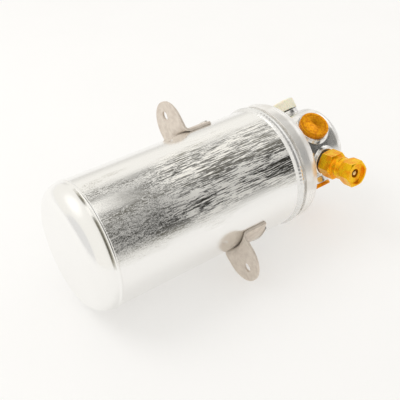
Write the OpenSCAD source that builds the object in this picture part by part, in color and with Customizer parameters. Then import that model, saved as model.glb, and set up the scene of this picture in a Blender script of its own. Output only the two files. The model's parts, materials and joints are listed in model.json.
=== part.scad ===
// Air-conditioning receiver-drier: a drawn aluminium pressure can lying on its side.
// Origin: centre of the can's flat closed end, on the can's axis.
// +X runs along the axis towards the head, +Z is up. Millimetres.
// Port angles are counted about +X, from +Y towards +Z.

/* [Can] */
// Outside diameter of the drawn can
can_d = 76; // [70:1:90]
// Length of the can from its closed end to its mouth
can_len = 136; // [125:1:200]
// Wall of the can
can_wall = 1.6; // [1.2:0.1:2.4]
// Radius of the rounded corner at the closed end
corner_r = 11.5; // [8:0.5:16]
// How far the thin ring stands out where the corner starts
ring_rise = 0.6; // [0.2:0.1:1]
// Radius of that ring's rounded section
ring_section_r = 1.5; // [1.2:0.1:2]
// How far the girth weld stands out from the can
weld_rise = 1.4; // [0.8:0.1:2]
// Width of the girth weld
weld_w = 5.4; // [4:0.1:7]

/* [Dome] */
// Length of the dome's plain collar behind the girth weld
collar_len = 4.2; // [3:0.1:8]
// How far the collar lies below the can's surface
collar_drop = 0.6; // [0.2:0.1:1.2]
// Length of the raised band after the collar
band_len = 3.8; // [3:0.1:8]
// How far the raised band stands out from the can
band_rise = 0.7; // [0.2:0.1:1.2]
// Radius of the dome's shoulder
shoulder_r = 8.5; // [6:0.5:12]
// Wall of the dome
dome_wall = 3; // [2.4:0.1:4]
// How far the dome's spigot reaches into the can
spigot_in = 7; // [5:0.5:12]

/* [Head] */
// Diameter of the head block
head_d = 48; // [46:1:52]
// Height of the head block above the dome
head_len = 34.5; // [32:0.5:44]
// Radius of the head block's rounded edge
head_edge_r = 6; // [3:0.5:6]
// Distance from the dome's top to the axes of the three front ports
port_up = 15.5; // [15:0.5:17]
// Distance from the dome's top to the axis of the rear port
rear_port_up = 20.5; // [18:0.5:21]
// Angle of the service port about the can's axis
service_angle = 168; // [160:1:176]
// Angle between the service port and each plugged port
plug_spread = 54; // [50:1:58]

/* [Plugs] */
// Diameter of a plug's gold head
plug_d = 18.6; // [16:0.1:19]
// Thickness of a plug's head
plug_t = 2.4; // [1.6:0.1:4]
// Diameter of the plugged ports' mouths
port_d = 14; // [12:0.5:15]
// Depth of the plugged ports' mouths
port_depth = 10.4; // [9:0.2:11]

/* [Service port] */
// Size of the hexagon across its flats
hex_af = 15.6; // [14:0.1:17]
// Height of the hexagon
hex_h = 9; // [6:0.5:12]
// Diameter of the waist above the hexagon
waist_d = 13.4; // [12.6:0.1:14]
// Length of the waist
waist_len = 6.5; // [4:0.5:9]
// Length of the cone between waist and nozzle hexagon
flare_len = 2.6; // [2:0.1:5]
// Size of the nozzle's hexagon across its flats
rim_af = 15; // [14.4:0.1:17]
// Length of the nozzle's hexagon
rim_len = 6.9; // [4:0.1:9]
// Diameter of the service port's thread
thread_d = 10; // [9.4:0.1:10.5]
// Travel of the valve pin when it is pressed
pin_travel = 1.5; // [1:0.1:1.5]

/* [Tabs] */
// Width of a mounting tab
tab_w = 31; // [26:1:34]
// Height of a tab's ear above the can
tab_h = 23; // [21:0.5:28]
// Thickness of the tabs' sheet
tab_t = 1.5; // [1:0.1:2.5]
// Length of the foot that is welded to the can
foot_len = 18; // [14:0.5:24]
// Distance from the can's closed end to the ears' faces
tab_x = 92; // [60:1:95]
// Height of the bolt hole's centre above the can
tab_hole_up = 14.5; // [12:0.5:16]
// Diameter of the tabs' bolt holes
tab_hole_d = 5.5; // [4.3:0.1:6.5]
// Angle between the two tabs
tab_spread = 171; // [150:1:180]

/* [Filling] */
// Outside diameter of the pick-up tube
tube_d = 12; // [11:0.5:12]
// Wall of the pick-up tube
tube_wall = 1.4; // [1:0.1:1.6]
// Gap between the pick-up tube's end and the can's end
tube_gap = 16; // [14:0.5:20]
// Place of the lower retainer plate along the can
bed_x = 36; // [32:1:44]
// Length of the desiccant bed
bed_len = 58; // [40:1:60]
// Thickness of each filter pad
pad_t = 4.5; // [3:0.5:6]
// Thickness of the retainer plates
plate_t = 1.5; // [1:0.1:2]
// Diameter of the holes in the retainer plates
plate_hole_d = 4; // [3:0.5:5]
// Wire diameter of the bed's spring
spring_wire = 2.4; // [2:0.1:3]
// Turns of the bed's spring
spring_turns = 3; // [2:0.5:4]

/* [Hidden] */
$fn = 96;

fit_gap = 0.08;       // radial clearance of a piece that slides in a bore
loose_gap = 0.3;      // clearance of loosely fitted pieces
seam_gap = 0.05;      // clearance of welded and seated pieces
overcut = 1;          // how far a cutting tool runs past a face

can_r = can_d / 2;
inner_r = can_r - can_wall;
collar_r = can_r - collar_drop;
band_r = can_r + band_rise;
floor_r = can_r + weld_rise;          // the girth weld is the widest ring, so the can lies on it
seam_w = 2;                           // width of the seam under the girth weld
collar_x = can_len + seam_w;
band_x = collar_x + collar_len;
shoulder_x = band_x + band_len;
dome_x = shoulder_x + shoulder_r;     // flat top of the dome
head_r = head_d / 2;
head_x = dome_x + head_len;
neck_r = 17;                          // spigot of the head block in the dome's hole

front_x = dome_x + port_up;
rear_x = dome_x + rear_port_up;
inlet_angle = service_angle - plug_spread;
outlet_angle = service_angle + plug_spread;
rear_angle = outlet_angle - 180;

// Heights of the ports, counted from the can's axis
boss_rise = 1.9;                      // how far the bosses' faces stand out from the head
boss_rim = 1.1;                       // how far a boss stands out past its plug
boss_h = head_r + boss_rise;
boss_r = plug_d / 2 + boss_rim;
plug_r = plug_d / 2;
port_r = port_d / 2;
port_floor_h = boss_h - port_depth;
feed_r = 5;                           // drillings behind the plugged ports
feed_h = 9;                           // depth that the inlet's drilling reaches
gallery_r = 3.2;                      // drilling from the inlet into the can
gallery_h = 11.5;
bleed_r = 1.5;                        // drillings behind the screwed-in ports
drill_run = 30;                       // how far a drilling runs outwards past the head
plug_edge_r = 0.5;
plug_wall = 3.5;
plug_groove = 2.1;                    // depth of the seal's groove in a plug's shank
plug_seat_gap = 0.1;                  // between a plug's head and its boss
plug_floor_gap = 1;                   // between a plug's shank and its port's floor
plug_web = 1;                         // how far a plug's hollow ends below its head
oring_r = 1;
oring_up = 4.5;                       // height of the seal above the port's floor
oring_play = 0.1;
oring_h = port_floor_h + oring_up;

gasket_t = 1;
hex_h0 = boss_h + gasket_t;
waist_h0 = hex_h0 + hex_h;
flare_h0 = waist_h0 + waist_len;
rim_h0 = flare_h0 + flare_len;
hex_chamfer = 0.6;
hex_over = 0.2;                       // how far a turned cut runs past a hexagon's corners
face_h = rim_h0 + rim_len;
rim_wall = 1.1;                       // wall at the flats, round the recess
recess_r = rim_af / 2 - rim_wall;
recess_depth = 1.8;
seat_h = face_h - recess_depth;
shank_h0 = 14;                        // inner end of the screwed-in shanks
shank_gap = 1;
core_feed_r = 1.6;
thread_r = thread_d / 2;
core_bore_r = 2.7;
core_r = core_bore_r - fit_gap;
core_drop = 3.7;                      // how far the core lies below the recess
core_seal_drop = 0.4;
core_top_h = seat_h - core_drop;
core_len = 9.5;
core_tail = 3.5;                      // thin end of the core that carries its seal
core_tail_r = 1.7;
core_slot_w = 1.2;
core_slot_depth = 1;
core_bottom_h = core_top_h - core_len;
pin_r = 0.75;
pin_head_r = 1.4;
pin_drop = 0.2;
pin_top_h = seat_h - pin_drop;
pin_head_t = 1;
poppet_r = 1.9;
poppet_t = 2;
poppet_seal_t = 0.75;
gasket_gap = 0.1;
poppet_h0 = core_bottom_h - poppet_seal_t - poppet_t - seam_gap;
poppet_room = 1;                      // below the poppet when the pin is pressed
core_bore_h0 = poppet_h0 - pin_travel - poppet_room;
pin_wire = 0.3;
pin_coils = 3;

stub_r = 5.2;
stub_flange_r = 6.8;
stub_flange_t = 1.2;
stub_pad_rim = 0.6;                   // how far the head's pad stands out past the stub's flange
stub_len = 4;
stub_bore_r = 2.2;
stub_gasket_t = 0.6;
stub_h0 = boss_h + stub_gasket_t;
nozzle_h0 = stub_h0 + stub_flange_t;
cap_r = 7.6;
cap_bore_r = 5.7;
cap_gap = 0.2;                        // between the cap and the stub's flange
cap_skirt_r = stub_flange_r + gasket_gap; // the cap's skirt covers the flange
cap_h0 = stub_h0 + cap_gap;
cap_h = 7;
cap_edge_r = 1;
cap_room = 0.8;                       // above the stub, inside the cap
cap_cavity_h = nozzle_h0 + stub_len + cap_room;

// The lower tab's rounded ear just touches the surface that the can lies on
tab_tip_r = tab_w / 2;
ear_h = can_r + tab_h - tab_tip_r;
lower_tab_angle = 180 + asin((floor_r - tab_tip_r) / ear_h);
upper_tab_angle = lower_tab_angle - tab_spread;
bend_r = 2.5;
foot_r = can_r + seam_gap;
tab_weld_r = 1.7;
tab_weld_share = 0.62;                // part of a foot's width that is welded
tab_weld_lift = 0.4;
ring_root = 0.4;                      // how deep in the can's wall the thin ring starts
girth_root = 0.1;
head_weld_r = 3;

tube_r = tube_d / 2;
tube_bore_r = tube_r - tube_wall;
socket_short = 7;                     // how far the tube's socket ends below the front ports' axes
socket_end_x = front_x - socket_short;
tube_groove_depth = 1.9;
tube_groove_up = 2;
tube_groove_r = tube_r + tube_groove_depth;
tube_groove_x = dome_x + tube_groove_up;
tube_oring_slack = 0.01;
tube_groove_w = 2.4;
well_len = 4;                         // how far the outlet's well runs past the front ports' axes
screen_stand = 3.5;                   // how far the strainer stands off the tube
screen_r = tube_r + screen_stand;
screen_wall = 0.8;
screen_len = 20;
screen_over = 8;                      // how far the strainer reaches past the tube's end
screen_x = tube_gap - screen_over;
screen_lip = 2;
clip_t = 1.2;
clip_rim = 2.6;
clip_r = tube_r + clip_rim;
clip_groove = 0.5;
clip_play = 0.1;
plate_r = inner_r - loose_gap;
plate_bore_r = tube_r + loose_gap;
lip_h = 4;
lip_wall = 1.5;
lip_gap = 0.7;
hole_rows = [[12, 8], [18.5, 12], [25, 18]]; // radius and number of holes of each row
pad_x = bed_x + plate_t;
desiccant_x = pad_x + pad_t;
pad2_x = desiccant_x + bed_len;
plate2_x = pad2_x + pad_t;
spring_x = plate2_x + plate_t;
spring_end_x = can_len - spigot_in;
spring_r = inner_r - 2 * loose_gap - spring_wire / 2;
spring_play = 0.1;

// Places a piece's own +Z along the can's axis
module along_can() {
    rotate([0, 90, 0]) children();
}

// Places a piece's own +Z along a radius at a given place and angle
module on_radius(x, angle) {
    translate([x, 0, 0]) rotate([angle - 90, 0, 0]) children();
}

// A rectangle of a turned profile: radii r0 to r1, heights h0 to h1
module slab(r0, r1, h0, h1) {
    translate([r0, h0]) square([r1 - r0, h1 - h0]);
}

// A plain ring
module ring(r0, r1, h0, h1) {
    rotate_extrude() slab(r0, r1, h0, h1);
}

// A round-section ring
module round_ring(centre_r, section_r, h) {
    rotate_extrude() translate([centre_r, h]) circle(section_r);
}

// Outline of a can with a rounded corner at its closed end
module can_outline(r, h0, h1, edge_r) {
    slab(0, r, h0 + edge_r, h1);
    slab(0, r - edge_r, h0, h1);
    translate([r - edge_r, h0 + edge_r]) circle(edge_r);
}

// Outline of a dome with a rounded corner at its far end
module dome_outline(r, h0, h1, edge_r) {
    slab(0, r, h0, h1 - edge_r);
    slab(0, r - edge_r, h0, h1);
    translate([r - edge_r, h1 - edge_r]) circle(edge_r);
}

// A hexagon bar with turned ends: radius r0 at its lower end h0, full size from
// h_full on, and chamfered corners at its upper end h1
module hexagon(af, r0, h0, h_full, h1) {
    corner = af / sqrt(3);
    intersection() {
        translate([0, 0, h0]) cylinder(r = corner, h = h1 - h0, $fn = 6);
        rotate_extrude() polygon([
            [0, h0], [r0, h0], [corner + hex_over, h_full],
            [corner + hex_over, h1 - hex_chamfer], [af / 2, h1], [0, h1]
        ]);
    }
}

// A coil spring: a round wire swept along a helix, its own axis on +Z
module coil(mean_r, wire_r, h0, h1, turns, sides, steps) {
    count = turns * steps;
    rise = h1 - h0 - 2 * wire_r;
    rings = [for (i = [0 : count]) let (
        a = 360 * i / steps,
        z = h0 + wire_r + rise * i / count
    ) for (k = [0 : sides - 1]) let (
        b = 360 * k / sides,
        r = mean_r + wire_r * cos(b)
    ) [r * cos(a), r * sin(a), z + wire_r * sin(b)]];
    skin = [for (i = [0 : count - 1]) for (k = [0 : sides - 1]) let (
        n = (k + 1) % sides
    ) [i * sides + k, i * sides + n, (i + 1) * sides + n, (i + 1) * sides + k]];
    first = [for (k = [sides - 1 : -1 : 0]) k];
    last = [for (k = [0 : sides - 1]) count * sides + k];
    polyhedron(points = rings, faces = concat([first], skin, [last]), convexity = 8);
}

module can_shell() {
    color("gainsboro") along_can() rotate_extrude() difference() {
        union() {
            can_outline(can_r, 0, can_len, corner_r);
            intersection() {
                translate([can_r + ring_rise - ring_section_r, corner_r + ring_section_r])
                    circle(ring_section_r);
                slab(inner_r + ring_root, can_r + ring_rise + overcut, 0, can_len);
            }
        }
        can_outline(inner_r, can_wall, can_len + overcut, corner_r - can_wall);
    }
}

module dome_head() {
    inside_r = inner_r - seam_gap - dome_wall;
    color("silver") along_can() rotate_extrude() difference() {
        union() {
            slab(0, inner_r - seam_gap, can_len - spigot_in, collar_x);
            slab(0, collar_r, collar_x, band_x);
            dome_outline(band_r, band_x, dome_x, shoulder_r);
        }
        dome_outline(inside_r, can_len - spigot_in - overcut, dome_x - dome_wall,
            shoulder_r - dome_wall);
        slab(0, neck_r + seam_gap, dome_x - dome_wall - overcut, dome_x + overcut);
    }
}

module girth_weld() {
    half = weld_w / 2;
    section_r = (half * half + weld_rise * weld_rise) / (2 * weld_rise);
    centre_x = (can_len + collar_x) / 2;
    color("whitesmoke") along_can() rotate_extrude() difference() {
        translate([can_r + weld_rise - section_r, centre_x]) circle(section_r);
        slab(0, inner_r + girth_root, 0, head_x);
        slab(0, can_r + seam_gap, 0, can_len + seam_gap);
        slab(0, collar_r + seam_gap, collar_x - seam_gap, head_x);
    }
}

module head_block() {
    color("silver") difference() {
        union() {
            along_can() rotate_extrude() {
                dome_outline(head_r, dome_x, head_x, head_edge_r);
                slab(0, neck_r, dome_x - dome_wall, dome_x + overcut);
            }
            for (angle = [inlet_angle, outlet_angle])
                on_radius(front_x, angle) cylinder(r = boss_r, h = boss_h);
            on_radius(front_x, service_angle) cylinder(r = hex_af / sqrt(3), h = boss_h);
            on_radius(rear_x, rear_angle) cylinder(r = stub_flange_r + stub_pad_rim, h = boss_h);
        }
        // mouths and feed drillings of the two plugged ports
        for (angle = [inlet_angle, outlet_angle])
            on_radius(front_x, angle) translate([0, 0, port_floor_h])
                cylinder(r = port_r, h = drill_run);
        on_radius(front_x, inlet_angle) translate([0, 0, feed_h])
            cylinder(r = feed_r, h = drill_run);
        on_radius(front_x, outlet_angle) cylinder(r = feed_r, h = drill_run);
        // gallery from the inlet down into the can
        rotate([inlet_angle - 90, 0, 0]) translate([dome_x - dome_wall - overcut, 0, gallery_h])
            along_can() cylinder(r = gallery_r, h = front_x - dome_x + dome_wall + overcut);
        // socket of the pick-up tube, with its seal groove, and the outlet's well
        along_can() {
            translate([0, 0, dome_x - dome_wall - overcut])
                cylinder(r = tube_r + seam_gap, h = socket_end_x - dome_x + dome_wall + overcut);
            translate([0, 0, tube_groove_x]) cylinder(r = tube_groove_r, h = tube_groove_w);
            translate([0, 0, socket_end_x - overcut])
                cylinder(r = tube_bore_r, h = front_x + well_len - socket_end_x + overcut);
        }
        // threaded holes of the service port and the rear stub
        on_radius(front_x, service_angle) {
            translate([0, 0, shank_h0 - shank_gap]) cylinder(r = thread_r, h = drill_run);
            cylinder(r = bleed_r, h = drill_run);
        }
        on_radius(rear_x, rear_angle) {
            translate([0, 0, shank_h0 - shank_gap]) cylinder(r = stub_r + seam_gap, h = drill_run);
            cylinder(r = bleed_r, h = drill_run);
        }
    }
}

module head_weld() {
    color("whitesmoke") along_can() rotate_extrude() intersection() {
        translate([head_r, dome_x]) circle(head_weld_r);
        slab(head_r + seam_gap, head_r + head_weld_r + overcut,
            dome_x + seam_gap, dome_x + head_weld_r + overcut);
    }
}

// A push-in plug for a plugged port: gold head, hollow shank and seal groove
module port_plug(angle) {
    head_h = boss_h + plug_seat_gap;
    on_radius(front_x, angle) rotate_extrude() difference() {
        union() {
            slab(0, plug_r, head_h, head_h + plug_t - plug_edge_r);
            slab(0, plug_r - plug_edge_r, head_h, head_h + plug_t);
            translate([plug_r - plug_edge_r, head_h + plug_t - plug_edge_r]) circle(plug_edge_r);
            slab(0, port_r - fit_gap, port_floor_h + plug_floor_gap, head_h + overcut);
        }
        slab(0, port_r - plug_wall, port_floor_h, head_h - plug_web);
        slab(port_r - plug_groove, port_r,
            oring_h - oring_r - oring_play, oring_h + oring_r + oring_play);
    }
}

// The seal in a plug's groove
module plug_oring(angle) {
    on_radius(front_x, angle) round_ring(port_r - seam_gap - oring_r, oring_r, oring_h);
}

module inlet_plug() {
    color("darkorange") port_plug(inlet_angle);
}

module inlet_oring() {
    color("black") plug_oring(inlet_angle);
}

module outlet_plug() {
    color("darkorange") port_plug(outlet_angle);
}

module outlet_oring() {
    color("black") plug_oring(outlet_angle);
}

module service_port() {
    waist_r = waist_d / 2;
    color("goldenrod") on_radius(front_x, service_angle) difference() {
        union() {
            translate([0, 0, shank_h0])
                cylinder(r = thread_r - seam_gap, h = hex_h0 - shank_h0 + overcut);
            hexagon(hex_af, hex_af / 2, hex_h0, hex_h0 + hex_chamfer, waist_h0);
            translate([0, 0, waist_h0 - overcut]) cylinder(r = waist_r, h = waist_len + overcut);
            hexagon(rim_af, waist_r, flare_h0, rim_h0, face_h);
        }
        translate([0, 0, seat_h]) cylinder(r = recess_r, h = recess_depth + overcut);
        translate([0, 0, core_bore_h0])
            cylinder(r = core_bore_r, h = seat_h - core_bore_h0 + overcut);
        translate([0, 0, shank_h0 - overcut])
            cylinder(r = core_feed_r, h = core_bore_h0 - shank_h0 + 2 * overcut);
    }
}

module port_gasket() {
    color("dimgray") on_radius(front_x, service_angle)
        ring(thread_r + gasket_gap, hex_af / 2 - loose_gap, boss_h, hex_h0);
}

module valve_core() {
    color("peru") on_radius(front_x, service_angle) difference() {
        union() {
            translate([0, 0, core_bottom_h + core_tail]) cylinder(r = core_r, h = core_len - core_tail);
            translate([0, 0, core_bottom_h]) cylinder(r = core_tail_r, h = core_tail + overcut);
        }
        translate([0, 0, core_bottom_h - overcut])
            cylinder(r = pin_r + fit_gap, h = core_len + 2 * overcut);
        // slot for the core tool
        translate([-core_r - overcut, -core_slot_w / 2, core_top_h - core_slot_depth])
            cube([2 * (core_r + overcut), core_slot_w, core_slot_depth + overcut]);
    }
}

module core_seal() {
    color("ivory") on_radius(front_x, service_angle)
        ring(core_tail_r + seam_gap, core_r,
            core_bottom_h + core_seal_drop, core_bottom_h + core_tail - gasket_gap);
}

module valve_pin() {
    color("gold") on_radius(front_x, service_angle) rotate_extrude() {
        slab(0, pin_r, poppet_h0, pin_top_h);
        slab(0, pin_head_r, pin_top_h - pin_head_t, pin_top_h);
        slab(0, poppet_r, poppet_h0, poppet_h0 + poppet_t);
    }
}

module poppet_seal() {
    color("black") on_radius(front_x, service_angle)
        ring(pin_r, poppet_r, poppet_h0 + poppet_t, poppet_h0 + poppet_t + poppet_seal_t);
}

module pin_spring() {
    mean_r = pin_head_r - pin_wire / 2 - seam_gap;
    color("lightsteelblue") on_radius(front_x, service_angle)
        coil(mean_r, pin_wire / 2, core_top_h, pin_top_h - pin_head_t, pin_coils,
            sides = 8, steps = 16);
}

module rear_stub() {
    color("lightgray") on_radius(rear_x, rear_angle) rotate_extrude() difference() {
        union() {
            slab(0, stub_r, shank_h0, nozzle_h0);
            slab(0, stub_flange_r, stub_h0, nozzle_h0);
            slab(0, cap_bore_r - fit_gap, stub_h0, nozzle_h0 + stub_len);
        }
        slab(0, stub_bore_r, shank_h0 - overcut, nozzle_h0 + stub_len + overcut);
    }
}

module stub_gasket() {
    color("dimgray") on_radius(rear_x, rear_angle)
        ring(stub_r + gasket_gap, stub_flange_r - 2 * gasket_gap, boss_h, stub_h0);
}

module rear_cap() {
    color("khaki") on_radius(rear_x, rear_angle) rotate_extrude() difference() {
        union() {
            slab(0, cap_r, cap_h0, cap_h0 + cap_h - cap_edge_r);
            slab(0, cap_r - cap_edge_r, cap_h0, cap_h0 + cap_h);
            translate([cap_r - cap_edge_r, cap_h0 + cap_h - cap_edge_r]) circle(cap_edge_r);
        }
        slab(0, cap_skirt_r, cap_h0 - overcut, nozzle_h0 + cap_gap);
        slab(0, cap_bore_r, cap_h0, cap_cavity_h);
    }
}

// A mounting tab: the foot follows the can, the ear stands across its axis
module tab(angle) {
    foot_top = foot_r + tab_t;
    ear_x = tab_x + tab_t;
    bend_x = ear_x + bend_r;
    rotate([angle - 90, 0, 0]) difference() {
        intersection() {
            along_can() rotate_extrude() difference() {
                union() {
                    slab(foot_r, foot_top, bend_x, tab_x + foot_len);
                    slab(foot_top + bend_r, can_r + tab_h + overcut, tab_x, ear_x);
                    intersection() {
                        translate([foot_top + bend_r, bend_x]) circle(bend_r + tab_t);
                        slab(foot_r, foot_top + bend_r, tab_x, bend_x);
                    }
                }
                translate([foot_top + bend_r, bend_x]) circle(bend_r);
            }
            // outline of the sheet, seen along the can
            translate([tab_x - overcut, 0, 0]) rotate([90, 0, 90])
                linear_extrude(height = foot_len + 2 * overcut) {
                    translate([0, ear_h]) circle(tab_tip_r);
                    translate([-tab_tip_r, 0]) square([tab_w, ear_h]);
                }
        }
        translate([tab_x - overcut, 0, can_r + tab_hole_up]) along_can()
            cylinder(r = tab_hole_d / 2, h = tab_t + 2 * overcut);
    }
}

module upper_tab() {
    color("tan") tab(upper_tab_angle);
}

module lower_tab() {
    color("tan") tab(lower_tab_angle);
}

// Weld beads across the ends of both feet
module tab_welds() {
    weld_x = tab_x + foot_len + seam_gap;
    half_angle = asin(tab_tip_r / can_r) * tab_weld_share;
    reach = 2 * can_r;
    color("lightgray") for (angle = [upper_tab_angle, lower_tab_angle])
        rotate([angle - 90, 0, 0]) intersection() {
            along_can() rotate_extrude() difference() {
                translate([can_r + tab_weld_lift, weld_x]) circle(tab_weld_r);
                slab(0, foot_r, 0, can_len);
                slab(0, can_r + tab_h, 0, weld_x);
            }
            translate([weld_x - overcut, 0, 0]) rotate([90, 0, 90])
                linear_extrude(height = tab_weld_r + 2 * overcut)
                polygon([
                    [0, 0],
                    [reach * sin(half_angle), reach * cos(half_angle)],
                    [-reach * sin(half_angle), reach * cos(half_angle)]
                ]);
        }
}

module pickup_tube() {
    color("lightgray") along_can() rotate_extrude() difference() {
        slab(tube_bore_r, tube_r, tube_gap, socket_end_x - 2 * clip_play);
        slab(tube_r - clip_groove, tube_r + overcut, bed_x - clip_t - 2 * clip_play, bed_x);
    }
}

module tube_oring() {
    section_r = (tube_groove_r - tube_r - seam_gap) / 2 - 2 * tube_oring_slack;
    centre_r = tube_r + seam_gap + section_r + tube_oring_slack;
    color("black") along_can()
        round_ring(centre_r, section_r, tube_groove_x + tube_groove_w / 2);
}

// Strainer over the pick-up tube's open end
module pickup_screen() {
    rows = 3;
    per_row = 8;
    first_row = 4;
    row_pitch = 4.5;
    hole_r = 1.3;
    color("darkseagreen") along_can() difference() {
        rotate_extrude() difference() {
            slab(0, screen_r, screen_x, screen_x + screen_len);
            slab(0, screen_r - screen_wall, screen_x + screen_wall, screen_x + screen_len - screen_lip);
            slab(0, tube_r + seam_gap, screen_x + screen_wall, screen_x + screen_len + overcut);
        }
        for (row = [0 : rows - 1])
            for (i = [0 : per_row - 1])
                translate([0, 0, screen_x + first_row + row * row_pitch])
                    rotate([0, 90, (i + 0.25 + row / 2) * 360 / per_row])
                        cylinder(r = hole_r, h = screen_r + overcut);
    }
}

module tube_clip() {
    color("slategray") along_can()
        ring(tube_r - clip_groove + seam_gap, clip_r, bed_x - clip_t - clip_play, bed_x - clip_play);
}

// A perforated plate; side is 1 for a lip towards +X and -1 for the other way
module retainer_plate(x, side) {
    lip_x = side > 0 ? x : x + plate_t - lip_h;
    lip_r = spring_r - spring_wire / 2 - lip_gap;
    hole_r = plate_hole_d / 2;
    along_can() difference() {
        union() {
            ring(plate_bore_r, plate_r, x, x + plate_t);
            ring(lip_r - lip_wall, lip_r, lip_x, lip_x + lip_h);
        }
        for (row = hole_rows)
            for (i = [0 : row[1] - 1])
                rotate([0, 0, i * 360 / row[1]]) translate([row[0], 0, x - overcut])
                    cylinder(r = hole_r, h = plate_t + 2 * overcut);
    }
}

// A fibre pad that lines a retainer plate
module filter_pad(x) {
    along_can() ring(plate_bore_r, plate_r - loose_gap, x + seam_gap, x + pad_t - seam_gap);
}

module lower_plate() {
    color("silver") retainer_plate(bed_x, -1);
}

module lower_pad() {
    color("linen") filter_pad(pad_x);
}

module desiccant_bed() {
    color("burlywood") along_can() ring(plate_bore_r, plate_r, desiccant_x, pad2_x);
}

module upper_pad() {
    color("linen") filter_pad(pad2_x);
}

module upper_plate() {
    color("silver") retainer_plate(plate2_x, 1);
}

module bed_spring() {
    color("lightsteelblue") along_can()
        coil(spring_r, spring_wire / 2, spring_x + spring_play, spring_end_x - spring_play,
            spring_turns, sides = 10, steps = 28);
}

can_shell();
dome_head();
girth_weld();
head_block();
head_weld();
inlet_plug();
inlet_oring();
outlet_plug();
outlet_oring();
service_port();
port_gasket();
valve_core();
core_seal();
valve_pin();
poppet_seal();
pin_spring();
rear_stub();
stub_gasket();
rear_cap();
upper_tab();
lower_tab();
tab_welds();
pickup_tube();
tube_oring();
pickup_screen();
tube_clip();
lower_plate();
lower_pad();
desiccant_bed();
upper_pad();
upper_plate();
bed_spring();
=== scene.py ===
"""Looks of an air-conditioning receiver-drier: a polished pressure can lying on its side."""

import cmath
import json
import logging
import math
from dataclasses import dataclass
from enum import Enum
from functools import lru_cache
from typing import Callable, Iterable, Optional, Sequence, Union

import bmesh
import bpy
from mathutils import Matrix, Vector


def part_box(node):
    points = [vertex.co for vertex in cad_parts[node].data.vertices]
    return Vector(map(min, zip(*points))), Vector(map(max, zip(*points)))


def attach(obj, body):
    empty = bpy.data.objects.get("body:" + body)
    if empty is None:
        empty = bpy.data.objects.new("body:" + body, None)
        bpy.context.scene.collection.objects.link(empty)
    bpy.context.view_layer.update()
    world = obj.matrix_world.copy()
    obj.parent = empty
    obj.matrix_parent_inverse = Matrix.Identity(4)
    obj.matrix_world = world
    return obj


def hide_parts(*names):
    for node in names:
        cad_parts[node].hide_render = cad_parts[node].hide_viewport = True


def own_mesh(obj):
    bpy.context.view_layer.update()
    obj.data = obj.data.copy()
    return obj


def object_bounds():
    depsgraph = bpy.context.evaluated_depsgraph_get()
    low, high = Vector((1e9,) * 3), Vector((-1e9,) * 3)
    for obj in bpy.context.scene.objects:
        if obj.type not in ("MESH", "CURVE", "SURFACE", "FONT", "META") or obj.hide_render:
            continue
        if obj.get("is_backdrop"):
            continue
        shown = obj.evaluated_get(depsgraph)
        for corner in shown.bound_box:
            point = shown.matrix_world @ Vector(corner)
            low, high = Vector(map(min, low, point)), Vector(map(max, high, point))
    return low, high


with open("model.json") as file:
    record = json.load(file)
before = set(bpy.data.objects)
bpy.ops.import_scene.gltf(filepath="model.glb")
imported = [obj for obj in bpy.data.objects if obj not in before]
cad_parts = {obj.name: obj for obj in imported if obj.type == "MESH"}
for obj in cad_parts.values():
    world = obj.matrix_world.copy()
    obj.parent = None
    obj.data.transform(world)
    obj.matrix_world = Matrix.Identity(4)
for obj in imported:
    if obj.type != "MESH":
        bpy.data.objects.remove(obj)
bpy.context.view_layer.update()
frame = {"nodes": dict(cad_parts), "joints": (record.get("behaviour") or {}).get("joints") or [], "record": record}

MM = 0.001
TURN = 2 * math.pi
CAD_NORMALS = "custom_normal"
EVEN = (1.0, 1.0, 1.0)
log = logging.getLogger("receiver_drier")

Corner = Sequence[float]
Point = tuple[float, float]
Shape = Callable[[float, float, float], float]


# ---------------------------------------------------------------- node trees


class Wire:
    """One output in a node tree; arithmetic on it adds Math nodes."""

    def __init__(self, graph: "Graph", socket: bpy.types.NodeSocket) -> None:
        """Keeps the output and the graph that it belongs to."""
        self.graph = graph
        self.socket = socket

    def _math(self, operation: str, first: "Value", second: "Value") -> "Wire":
        """Adds one Math node."""
        return self.graph.node("ShaderNodeMath", {"operation": operation}, {0: first, 1: second})

    def __add__(self, other: "Value") -> "Wire":
        """Sum of two values."""
        return self._math("ADD", self, other)

    __radd__ = __add__

    def __sub__(self, other: "Value") -> "Wire":
        """Difference of two values."""
        return self._math("SUBTRACT", self, other)

    def __rsub__(self, other: "Value") -> "Wire":
        """Difference, with the value on the right."""
        return self._math("SUBTRACT", other, self)

    def __mul__(self, other: "Value") -> "Wire":
        """Product of two values."""
        return self._math("MULTIPLY", self, other)

    __rmul__ = __mul__

    def __pow__(self, other: "Value") -> "Wire":
        """Power of a value."""
        return self._math("POWER", self, other)

    def __rpow__(self, other: "Value") -> "Wire":
        """Power, with the value as the exponent."""
        return self._math("POWER", other, self)

    def out(self, name: Union[str, int]) -> "Wire":
        """Another output of the same node."""
        return Wire(self.graph, self.socket.node.outputs[name])


Value = Union[Wire, float, int]


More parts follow.
